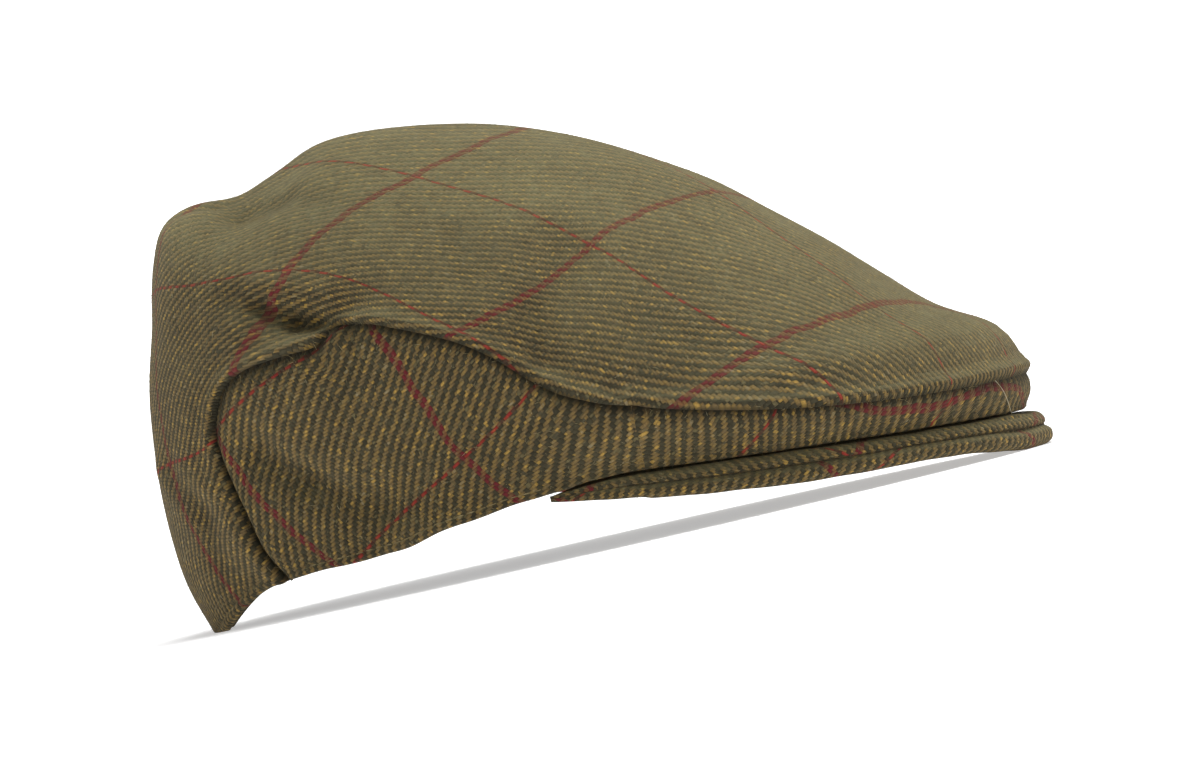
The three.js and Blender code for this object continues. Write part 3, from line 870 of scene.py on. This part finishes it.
def flat_size(flat):
    """Width, length and area in metres of a panel laid out flat."""
    one, two = flat[1:, 1:] - flat[:-1, :-1], flat[1:, :-1] - flat[:-1, 1:]
    area = np.abs(one[..., 0] * two[..., 1] - one[..., 1] * two[..., 0]).sum() / 2
    low, high = flat.reshape(-1, 2).min(0), flat.reshape(-1, 2).max(0)
    return tuple((high - low)[::-1] * MM), area * MM * MM


crown_outer, crown_inner, crown_weave, crown_flat, crown_grid = crown_piece()
right_outer, right_inner, right_weave, right_flat = side_piece(-1, crown_grid, crown_outer, crown_inner)
left_outer, left_inner, left_weave, left_flat = side_piece(1, crown_grid, crown_outer, crown_inner)
# The left panel is cut from the same cloth turned a quarter, so that its ribs stand upright too,
# and some yarns further on
LEFT_YARNS = (17, 9)
turned = [right_weave[..., 1] * DARK_COUNT / GOLD_COUNT, right_weave[..., 0] * GOLD_COUNT / DARK_COUNT]
turned = [counts + further for counts, further in zip(turned, LEFT_YARNS)]
left_weave = np.stack([*turned, right_weave[..., 2]], -1)

top_cloth = shell("top_cloth", crown_outer, crown_inner, crown_weave)
right_cloth = shell("side_cloth_right", right_outer, right_inner, right_weave)
left_cloth = shell("side_cloth_left", left_outer, left_inner, left_weave)


# The peak's cloth: how its grain turns against the edge and how much it is drawn over the roll.
# The ridge is cut the other way round from the roll, with the stitched groove between them.
PEAK_GRAIN = math.radians(-35)
PEAK_STRETCH = 1.15

# Where a dark red line crosses the ridge and the roll of the peak, and a bright red one the roll
RIDGE_DARK_RED = (850, 443)
ROLL_DARK_RED = (840, 460)
ROLL_RED = (883, 453)

# Places round the peak's section, whose groove is at GROOVE
GROOVE = 13
PEAK_SECTION = np.concatenate([np.arange(0, 7), np.arange(7, 20, 1 / 3), np.arange(20, 26.5)])


def peak_piece():
    """The cloth-covered peak as one closed ring of sections with its two wing tips closed."""
    rough = peak_grid(FINE_ROWS, PEAK_FRONT_ROWS)
    section = PEAK_SECTION
    grid = resample(rough, np.arange(len(rough)), section)
    along = lengths(rough[:, 16])
    out = row_lengths(grid, int(np.abs(section - 15).argmin()))
    centre = along[len(along) // 2]
    ridge = section < 12.7
    run, rise = (along - centre)[:, None] * np.where(ridge, -1, 1), out * PEAK_STRETCH
    counts_s = (run * math.cos(PEAK_GRAIN) + rise * math.sin(PEAK_GRAIN)) / DARK_PITCH
    counts_t = (-run * math.sin(PEAK_GRAIN) + rise * math.cos(PEAK_GRAIN)) / GOLD_PITCH
    normals = grid_normals(grid)
    for part, spot in ((ridge, RIDGE_DARK_RED), (~ridge, ROLL_DARK_RED)):
        shown = np.where(part[None, :, None], normals, 1.0)
        counts_s[:, part] -= counts_s[in_view(grid, shown, *spot)]
    counts_t -= counts_t[in_view(grid, normals, *ROLL_RED)]
    # Painted shade in the stitched groove, and under the crown's edge where the peak meets it
    groove_shade = 1 - 0.5 * np.exp(-((section - GROOVE) / 0.5) ** 2)
    light = (0.35 + 0.65 * smooth(7.6, 9.5, section)) * groove_shade + 0 * out
    weave = np.stack([counts_s, counts_t, light], -1)
    bend = PEAK_RIPPLE * ripples(grid, *PEAK_RIPPLES)[..., None]
    visible = ((section > 8) & (section < 19))[:, None]
    grid = grid + np.where(visible, grid_normals(grid) * bend, 0)
    rows, columns = grid.shape[:2]
    index = np.arange(rows * columns).reshape(rows, columns)
    onward = np.roll(index, -1, 1)
    quads = np.stack([index[:-1], onward[:-1], onward[1:], index[1:]], -1).reshape(-1, 4).tolist()
    quads += [index[0][::-1].tolist(), index[-1].tolist()]
    return mesh_piece("peak_cloth", grid.reshape(-1, 3), quads, weave.reshape(-1, 3)), grid


peak_cloth, peak_outer = peak_piece()


# Stitches and fibres
def tubes(name, lines, radii, sides=6):
    """One mesh of round tubes. lines is (tube, point, xyz) in millimetres, radii (tube, point)."""
    heading = unit(np.gradient(lines, axis=1))
    lean = np.where(np.abs(heading[..., 2:]) > 0.8, np.array([1.0, 0, 0]), np.array([0, 0, 1.0]))
    level = unit(np.cross(heading, lean))
    upright = np.cross(level, heading)
    angles = np.arange(sides) * 2 * math.pi / sides
    ring = level[:, :, None] * np.cos(angles)[:, None] + upright[:, :, None] * np.sin(angles)[:, None]
    points = lines[:, :, None] + ring * radii[:, :, None, None]
    count, rings = lines.shape[:2]
    index = np.arange(count * rings * sides).reshape(count, rings, sides)
    onward = np.roll(index, -1, 2)
    corners = (index[:, :-1], index[:, 1:], onward[:, 1:], onward[:, :-1])
    quads = np.stack(corners, -1).reshape(-1, 4).tolist()
    caps = index[:, 0].tolist() + index[:, -1, ::-1].tolist()
    return mesh_piece(name, points.reshape(-1, 3), quads + caps)


# Length of a stitch, the space to the next, the thread's radius, and how high a stitch stands in
# its middle and how deep its ends sink
STITCH = 2.6
STITCH_SPACE = 1.0
THREAD = 0.2
STITCH_ARCH = 0.32
STITCH_SUNK = 0.12


def stitches(name, path, normals):
    """A row of stitches along a path, each one sunk into the cloth at both ends."""
    along = lengths(path)
    starts = np.arange(0.5, along[-1] - STITCH, STITCH + STITCH_SPACE)
    shares = np.linspace(0, 1, 7)
    places = starts[:, None] + shares * STITCH
    line = np.stack([np.interp(places, along, path[:, k]) for k in range(3)], -1)
    out = np.stack([np.interp(places, along, normals[:, k]) for k in range(3)], -1)
    arch = np.sin(math.pi * shares)
    line = line + unit(out) * (STITCH_ARCH * arch - STITCH_SUNK)[:, None]
    return tubes(name, line, THREAD * (0.55 + 0.45 * arch) + np.zeros(places.shape))


def hem_row(outer, rows, column):
    normals = grid_normals(outer)
    return outer[rows, column], normals[rows, column]


# The stitched row of the hem, by its distance from the edge and by the rows it runs over
HEM_ROW = 3.1
HEM_COLUMN = -1 - int(np.abs(HEM_MARKS - HEM_ROW).argmin())
HEM_STITCHED = slice(22, 128)
hem_right = stitches("hem_stitches_right", *hem_row(right_outer, HEM_STITCHED, HEM_COLUMN))
hem_left = stitches("hem_stitches_left", *hem_row(left_outer, HEM_STITCHED, HEM_COLUMN))
GROOVE_COLUMN = int(np.abs(PEAK_SECTION - GROOVE).argmin())
peak_rows = slice(10, len(peak_outer) - 10)
peak_thread = stitches("peak_stitches", *hem_row(peak_outer, peak_rows, GROOVE_COLUMN))


def hairs(name, outers, count):
    """Loose wool fibres standing off the cloth, as thin curved tubes."""
    roots, normals = [], []
    for outer, share in outers:
        ahead, beside = outer[1:, :-1] - outer[:-1, :-1], outer[:-1, 1:] - outer[:-1, :-1]
        cells = np.linalg.norm(np.cross(ahead, beside), axis=-1)
        odds = cells.ravel() / cells.sum()
        picks = rng.choice(len(odds), int(count * share), p=odds)
        i, j = np.unravel_index(picks, cells.shape)
        u, v = rng.random(len(i))[:, None], rng.random(len(i))[:, None]
        roots.append(outer[i, j] + ahead[i, j] * u + beside[i, j] * v)
        normals.append(grid_normals(outer)[i, j])
    roots, normals = np.concatenate(roots), np.concatenate(normals)
    total = len(roots)
    loose = rng.normal(size=(total, 3))
    level = unit(loose - (loose * normals).sum(1, keepdims=True) * normals)
    lift = rng.uniform(0.15, 1.1, (total, 1))
    heading = unit(level + normals * lift)
    length = np.clip(rng.exponential(1.1, (total, 1)), 0.5, 3.6)
    swerve = unit(np.cross(heading, normals)) * rng.uniform(-0.5, 0.5, (total, 1))
    shares = np.array([0, 0.35, 0.7, 1.0])
    lines = roots[:, None] + (heading * length)[:, None] * shares[:, None]
    lines = lines + ((swerve - 0.25 * normals) * length)[:, None] * (shares**2)[:, None]
    radii = np.array([0.045, 0.04, 0.032, 0.014]) * rng.uniform(0.7, 1.2, (total, 1))
    return tubes(name, lines, radii, 3)


HAIR_COUNT = 8000
HAIR_SHARES = ((crown_outer, 0.62), (right_outer, 0.17), (left_outer, 0.14), (peak_outer, 0.07))
fibres = hairs("loose_fibres", HAIR_SHARES, HAIR_COUNT)

# One long pale fibre over the front of the band, as points of the photograph
STRAY = table("px py", [
    (988, 378), (993, 383), (998, 390), (1003, 400), (1007, 411), (1010, 418), (1013, 427), (1016, 438),
])


def stray_line():
    points = []
    normals = grid_normals(right_outer)
    for px, py in zip(STRAY["px"], STRAY["py"]):
        place = in_view(right_outer, normals, px, min(py, 408))
        x = (px - PICTURE_LEFT) / PIXELS_PER_MM
        drop = (PICTURE_LOW - py) / PIXELS_PER_MM
        ahead = x * math.cos(TILT) + drop * math.sin(TILT)
        up = -x * math.sin(TILT) + drop * math.cos(TILT)
        points.append((ahead, right_outer[place][1] - 1.2, up))
    return read(np.array(points), np.linspace(0, len(points) - 1, 40))


stray = tubes("stray_fibre", stray_line()[None], np.full((1, 40), 0.08), 5)

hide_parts("top_panel")
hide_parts("side_panel_right")
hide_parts("side_panel_left")
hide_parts("peak")

for piece, flat, edging in (
    (top_cloth, crown_flat, []),
    (right_cloth, right_flat, [hem_right]),
    (left_cloth, left_flat, [hem_left]),
):
    size, area = flat_size(flat)


# Tweed
def colour(red, green, blue):
    """A colour given as the screen shows it, from 0 to 255."""
    shares = [value / 255 for value in (red, green, blue)]
    linear = [s / 12.92 if s <= 0.04045 else ((s + 0.055) / 1.055) ** 2.4 for s in shares]
    return (*linear, 1)


class Number:
    """A number inside a material, so that sums with it read as they do in plain code."""

    def __init__(self, socket):
        self.socket = socket

    def __add__(self, other):
        return maths("ADD", self, other)

    def __radd__(self, other):
        return maths("ADD", other, self)

    def __sub__(self, other):
        return maths("SUBTRACT", self, other)

    def __rsub__(self, other):
        return maths("SUBTRACT", other, self)

    def __mul__(self, other):
        return maths("MULTIPLY", self, other)

    def __mod__(self, other):
        return maths("FLOORED_MODULO", self, other)

    def __gt__(self, other):
        return maths("GREATER_THAN", self, other)

    def __lt__(self, other):
        return maths("LESS_THAN", self, other)


def join(value, socket):
    """Links a node's output to a socket, or sets the socket to a plain value."""
    if isinstance(value, Number):
        value = value.socket
    if hasattr(value, "is_output"):
        socket.id_data.links.new(value, socket)
    else:
        socket.default_value = value


def maths(operation, *values):
    tree = next(value.socket.id_data for value in values if isinstance(value, Number))
    node = tree.nodes.new("ShaderNodeMath")
    node.operation = operation
    for value, socket in zip(values, node.inputs):
        join(value, socket)
    return Number(node.outputs[0])


def set_inputs(node, settings):
    for name, value in settings.items():
        node.inputs[name].default_value = value


def new_material(name, settings):
    """A material with its node tree and its surface."""
    material = bpy.data.materials.new(name)
    material.use_nodes = True
    surface = material.node_tree.nodes["Principled BSDF"]
    set_inputs(surface, settings)
    return material, material.node_tree, surface


def vector(tree, x, y, z):
    node = tree.nodes.new("ShaderNodeCombineXYZ")
    for value, socket in zip((x, y, z), node.inputs):
        join(value, socket)
    return node.outputs[0]


def split(tree, place):
    """The three numbers of a vector."""
    node = tree.nodes.new("ShaderNodeSeparateXYZ")
    join(place, node.inputs[0])
    return [Number(output) for output in node.outputs]


def mixed(tree, share, first, second, blend="MIX"):
    """Two colours mixed."""
    node = tree.nodes.new("ShaderNodeMix")
    node.data_type = "RGBA"
    node.blend_type = blend
    join(share, node.inputs[0])
    join(first, node.inputs[6])
    join(second, node.inputs[7])
    return node.outputs[2]


def shaded(tree, paint, strength):
    """A colour made darker or lighter by a number."""
    return mixed(tree, 1.0, paint, vector(tree, strength, strength, strength), "MULTIPLY")


def noise(tree, place, scale, detail=2.0):
    node = tree.nodes.new("ShaderNodeTexNoise")
    join(place, node.inputs["Vector"])
    set_inputs(node, {"Scale": scale, "Detail": detail})
    return Number(node.outputs["Fac"])


def chance(tree, place):
    """A random number for each whole place."""
    node = tree.nodes.new("ShaderNodeTexWhiteNoise")
    node.noise_dimensions = "3D"
    join(place, node.inputs["Vector"])
    return Number(node.outputs["Value"])


def ramp(tree, share, *stops):
    node = tree.nodes.new("ShaderNodeValToRGB")
    elements = node.color_ramp.elements
    while len(elements) < len(stops):
        elements.new(0.5)
    for element, (place, shade) in zip(elements, stops):
        element.position = place
        element.color = shade
    join(share, node.inputs["Fac"])
    return node.outputs["Color"]


def spread_out(tree, value, low, high):
    """A value brought from low..high to 0..1 with soft ends."""
    node = tree.nodes.new("ShaderNodeMapRange")
    node.interpolation_type = "SMOOTHSTEP"
    join(value, node.inputs["Value"])
    set_inputs(node, {"From Min": low, "From Max": high})
    return Number(node.outputs["Result"])


GOLD = colour(127, 105, 70)
GOLD_BRIGHT = colour(154, 124, 69)
GOLD_GREEN = colour(112, 101, 70)
GOLD_PALE = colour(158, 146, 114)
DARK = colour(64, 59, 45)
DARK_DEEP = colour(49, 46, 36)
DARK_PALE = colour(84, 77, 59)
FLECK = colour(194, 156, 78)
CRIMSON = colour(122, 34, 46)
RED = colour(172, 42, 44)
# Colour of the nap, and of the painted sheen on cloth that faces up
NAP_AND_SHEEN = colour(121, 117, 85)


def yarn_height(along, across):
    """Height of a float: round across its yarn and sunk at both ends."""
    middle = across * 2.0 - 1.0
    rounded = maths("SQRT", maths("MAXIMUM", 1.0 - middle * middle, 0.0))
    arched = maths("POWER", maths("MAXIMUM", maths("SINE", along * math.pi), 0.0), 0.6)
    return rounded * (0.25 + arched * 0.75)


def tweed(name, shade):
    """Two by two twill of dark and gold woollen yarns with a red overcheck. The yarns are counted
    by each mesh's weave attribute, and shade scales the whole colour down."""
    material, tree, surface = new_material(name, {
        "Roughness": 0.92,
        "Specular IOR Level": 0.15,
        "Sheen Weight": 0.12,
        "Sheen Roughness": 0.6,
        "Sheen Tint": colour(200, 190, 150),
    })
    weave = tree.nodes.new("ShaderNodeAttribute")
    weave.attribute_name = "weave"
    counts = weave.outputs["Vector"]
    counted_s, counted_t, light = split(tree, counts)

    # Yarns wander a little
    wander = noise(tree, counts, 0.35, 1.0) - 0.5
    drift = noise(tree, counts, 0.06, 1.0) - 0.5
    s = counted_s + (wander * 0.9 + drift * 2.5)
    t = counted_t + wander * -0.9
    whole_s, whole_t = maths("FLOOR", s), maths("FLOOR", t)
    part_s, part_t = s - whole_s, t - whole_t
    step = (whole_s + whole_t) % 4.0
    rough_up = step > 1.5

    # The wool blurs the steps of the floats into ribs
    rib = 0.5 - maths("COSINE", (s + t - 1.5) * (math.pi / 2)) * 0.5
    hairy = noise(tree, counts, 2.3, 2.0) - 0.5
    blurred = rough_up * 0.5 + rib * 0.5
    dark_up = spread_out(tree, blurred + hairy * 1.25, 0.3, 0.7)
    gold_height = yarn_height((step + part_s) * 0.5, part_t)
    dark_height = yarn_height((step - 2.0 + part_t) * 0.5, part_s)
    height = gold_height * (1.0 - dark_up) + dark_height * dark_up

    # Flecks and slubs along each yarn
    gold_fleck = noise(tree, vector(tree, s * 0.30, whole_t, 0.0), 1.9, 3.0)
    dark_fleck = noise(tree, vector(tree, whole_s, t * 0.22, 7.0), 1.9, 3.0)
    gold = ramp(tree, gold_fleck, (0.22, GOLD_GREEN), (0.44, GOLD), (0.58, GOLD_BRIGHT), (0.74, GOLD_PALE))
    dark = ramp(tree, dark_fleck, (0.3, DARK_DEEP), (0.5, DARK), (0.74, DARK_PALE))
    lucky = chance(tree, vector(tree, maths("FLOOR", s * 1.3), whole_t, 1.0))
    gold = mixed(tree, lucky > 0.93, gold, FLECK)
    gold = mixed(tree, lucky < 0.05, gold, DARK_PALE)
    dull = chance(tree, vector(tree, whole_s, maths("FLOOR", t * 1.3), 5.0))
    dark = mixed(tree, dull > 0.93, dark, GOLD_GREEN)

    # The overcheck: two dark red yarns, then one bright red one across them
    on_dark_red = (whole_s + 1.0) % float(DARK_COUNT) < 1.5
    on_red = (t + 0.15) % float(GOLD_COUNT) < 1.2
    gold = mixed(tree, on_dark_red * 0.4, gold, CRIMSON)
    dark = mixed(tree, on_red * 0.12, dark, RED)
    dark = mixed(tree, on_dark_red * 0.92, dark, CRIMSON)
    gold = mixed(tree, on_red * 0.85, gold, RED)
    on_check = maths("MAXIMUM", on_dark_red, on_red)
    cloth = mixed(tree, dark_up, gold, dark)

    # Wool fibres, and painted shade in the hollows between the yarns
    place = tree.nodes.new("ShaderNodeTexCoord").outputs["Object"]
    fibres = noise(tree, place, 2600.0, 3.0)
    patches = noise(tree, place, 38.0, 3.0)
    fleck_shade = 0.45 + fibres * 1.1
    patch_shade = 0.8 + patches * 0.4
    hollow_shade = 0.5 + height * 0.6
    cloth = shaded(tree, cloth, fleck_shade * patch_shade * (hollow_shade * shade))

    # The nap veils the yarns, and painted light from above lightens the cloth most where it faces up
    facing = split(tree, tree.nodes.new("ShaderNodeNewGeometry").outputs["True Normal"])[2]
    nap_and_sheen = 0.06 + spread_out(tree, facing, 0.05, 0.9) * 0.42
    nap_and_sheen = nap_and_sheen * (1.0 - on_check * 0.6)
    nap_and_sheen = nap_and_sheen * (0.4 + noise(tree, place, 900.0, 3.0) * 1.2)
    tufts = noise(tree, place, 210.0, 3.0) + patches * 0.8
    nap_and_sheen = nap_and_sheen * (0.1 + tufts)
    # The cloth under its nap and painted sheen, darkened by the painted shade that the weave attribute
    # carries
    cloth = shaded(tree, mixed(tree, nap_and_sheen, cloth, NAP_AND_SHEEN), light)

    bump = tree.nodes.new("ShaderNodeBump")
    set_inputs(bump, {"Strength": 0.8, "Distance": 0.00035})
    join(height + fibres * 0.7, bump.inputs["Height"])
    join(bump.outputs[0], surface.inputs["Normal"])
    join(cloth, surface.inputs["Base Color"])
    return material


def wool(name, *shades):
    """Thread or loose fibre: one wool whose colour changes from place to place."""
    material, tree, surface = new_material(name, {"Roughness": 0.85, "Specular IOR Level": 0.15})
    place = tree.nodes.new("ShaderNodeTexCoord").outputs["Object"]
    places = np.linspace(0.3, 0.7, len(shades))
    tint = ramp(tree, noise(tree, place, 420.0, 2.0), *zip(places, shades))
    twist = 0.7 + noise(tree, place, 3000.0, 2.0) * 0.6
    join(shaded(tree, tint, twist), surface.inputs["Base Color"])
    return material


crown_tweed = tweed("crown_tweed", 0.64)
peak_tweed = tweed("peak_tweed", 0.68)
for piece in (top_cloth, right_cloth, left_cloth):
    piece.data.materials.append(crown_tweed)
peak_cloth.data.materials.append(peak_tweed)
thread = wool("thread", colour(96, 86, 60), colour(128, 112, 76), colour(150, 134, 96))
dark_thread = wool("dark_thread", colour(48, 44, 34), colour(66, 60, 44), colour(88, 78, 54))
loose_shades = ((70, 66, 48), (120, 108, 74), (150, 136, 96), (175, 164, 128))
loose_wool = wool("loose_wool", *(colour(*shade) for shade in loose_shades))
pale_wool = wool("pale_fibre", colour(170, 160, 128), colour(205, 196, 165))
for piece, finish, slot in (
    (hem_right, thread, "crown_tweed"),
    (hem_left, thread, "crown_tweed"),
    (peak_thread, dark_thread, "peak_tweed"),
    (fibres, loose_wool, "crown_tweed"),
    (stray, pale_wool, "crown_tweed"),
):
    piece.data.materials.append(finish)


# Studio
# How far the floor is flat, over how much it curves up, its outer edge and its steps round
FLOOR_FLAT = 4.5
FLOOR_BEND = 3
FLOOR_EDGE = 7.5
FLOOR_SIDES = 96


def dish_height(reach):
    """The studio floor: flat under the cap, curving up all round far away."""
    turn = np.clip((reach - FLOOR_FLAT) / FLOOR_BEND, 0, 1)
    return FLOOR_BEND * (1 - np.sqrt(np.maximum(0, 1 - turn * turn)))


def studio_floor():
    reaches = np.concatenate([[0.0, 1.0, 2.5, FLOOR_FLAT], np.linspace(4.6, FLOOR_EDGE, 30)])
    angles = np.arange(FLOOR_SIDES) * 2 * math.pi / FLOOR_SIDES
    rings = zip(reaches, dish_height(reaches))
    points = [(r * math.cos(a), r * math.sin(a), height) for r, height in rings for a in angles]
    faces = []
    for low in range(0, (len(reaches) - 1) * FLOOR_SIDES, FLOOR_SIDES):
        high = low + FLOOR_SIDES
        for k in range(FLOOR_SIDES):
            onward = (k + 1) % FLOOR_SIDES
            faces.append((low + k, low + onward, high + onward, high + k))
    mesh = bpy.data.meshes.new("studio_floor")
    mesh.from_pydata(points, [], faces)
    mesh.shade_smooth()
    floor = bpy.data.objects.new("studio_floor", mesh)
    bpy.context.collection.objects.link(floor)
    material, tree, surface = new_material("studio_paper", {
        "Base Color": (0.8, 0.8, 0.8, 1),
        "Roughness": 1.0,
        "Specular IOR Level": 0.0,
        "Emission Color": (1, 1, 1, 1),
    })
    place = tree.nodes.new("ShaderNodeTexCoord").outputs["Object"]
    reach = tree.nodes.new("ShaderNodeVectorMath")
    reach.operation = "LENGTH"
    join(place, reach.inputs[0])
    behind = 0.25 + spread_out(tree, split(tree, place)[1], -2.7, -2.1) * 0.75
    far = spread_out(tree, reach.outputs["Value"], 0.3, 2.2) * 0.75
    join((0.45 + far) * behind, surface.inputs["Emission Strength"])
    mesh.materials.append(material)
    floor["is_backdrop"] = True


def soft_light(name, place, aim, width, watts):
    data = bpy.data.lights.new(name, "AREA")
    data.shape = "DISK"
    data.size = width
    data.energy = watts
    light = bpy.data.objects.new(name, data)
    bpy.context.collection.objects.link(light)
    light.location = place
    light.rotation_euler = (Vector(aim) - Vector(place)).to_track_quat("-Z", "Y").to_euler()


studio_floor()
soft_light("overhead", (0.35, -0.1, 2.0), (0, 0, 0.05), 1.2, 48)
soft_light("camera_side", (0.6, -2.6, 1.2), (0, 0, 0.05), 1.6, 2)

world = bpy.context.scene.world or bpy.data.worlds.new("World")
bpy.context.scene.world = world
world.use_nodes = True
set_inputs(world.node_tree.nodes["Background"], {"Color": (0.93, 0.96, 1.0, 1), "Strength": 0.12})

# Camera: level with the cap, a little above the floor, rolled as the cap leans in the picture
FRAME_WIDTH = 0.3776
LENS = 300
SENSOR = 36
ELEVATION = math.radians(0.4)
target = Vector((0.0035, 0, 0.0505))
camera_data = bpy.data.cameras.new("camera")
camera_data.lens = LENS
camera_data.sensor_width = SENSOR
camera_data.clip_end = 50
camera = bpy.data.objects.new("camera", camera_data)
bpy.context.collection.objects.link(camera)
bpy.context.scene.camera = camera
forward = Vector((0, math.cos(ELEVATION), -math.sin(ELEVATION)))
level = Vector((1, 0, 0))
upright = Vector((0, math.sin(ELEVATION), math.cos(ELEVATION)))
right_axis = level * math.cos(TILT) - upright * math.sin(TILT)
up_axis = level * math.sin(TILT) + upright * math.cos(TILT)
place = target - forward * FRAME_WIDTH * LENS / SENSOR
axes = zip(right_axis, up_axis, -forward, place)
camera.matrix_world = Matrix((*axes, (0, 0, 0, 1)))

scene = bpy.context.scene
scene.render.resolution_x = 1200
scene.render.resolution_y = 760
scene.view_settings.view_transform = "Standard"

visual_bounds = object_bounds()
sizes = {"cad": cad_bounds, "visual": visual_bounds}
sizes = {name: [list(corner) for corner in corners] for name, corners in sizes.items()}
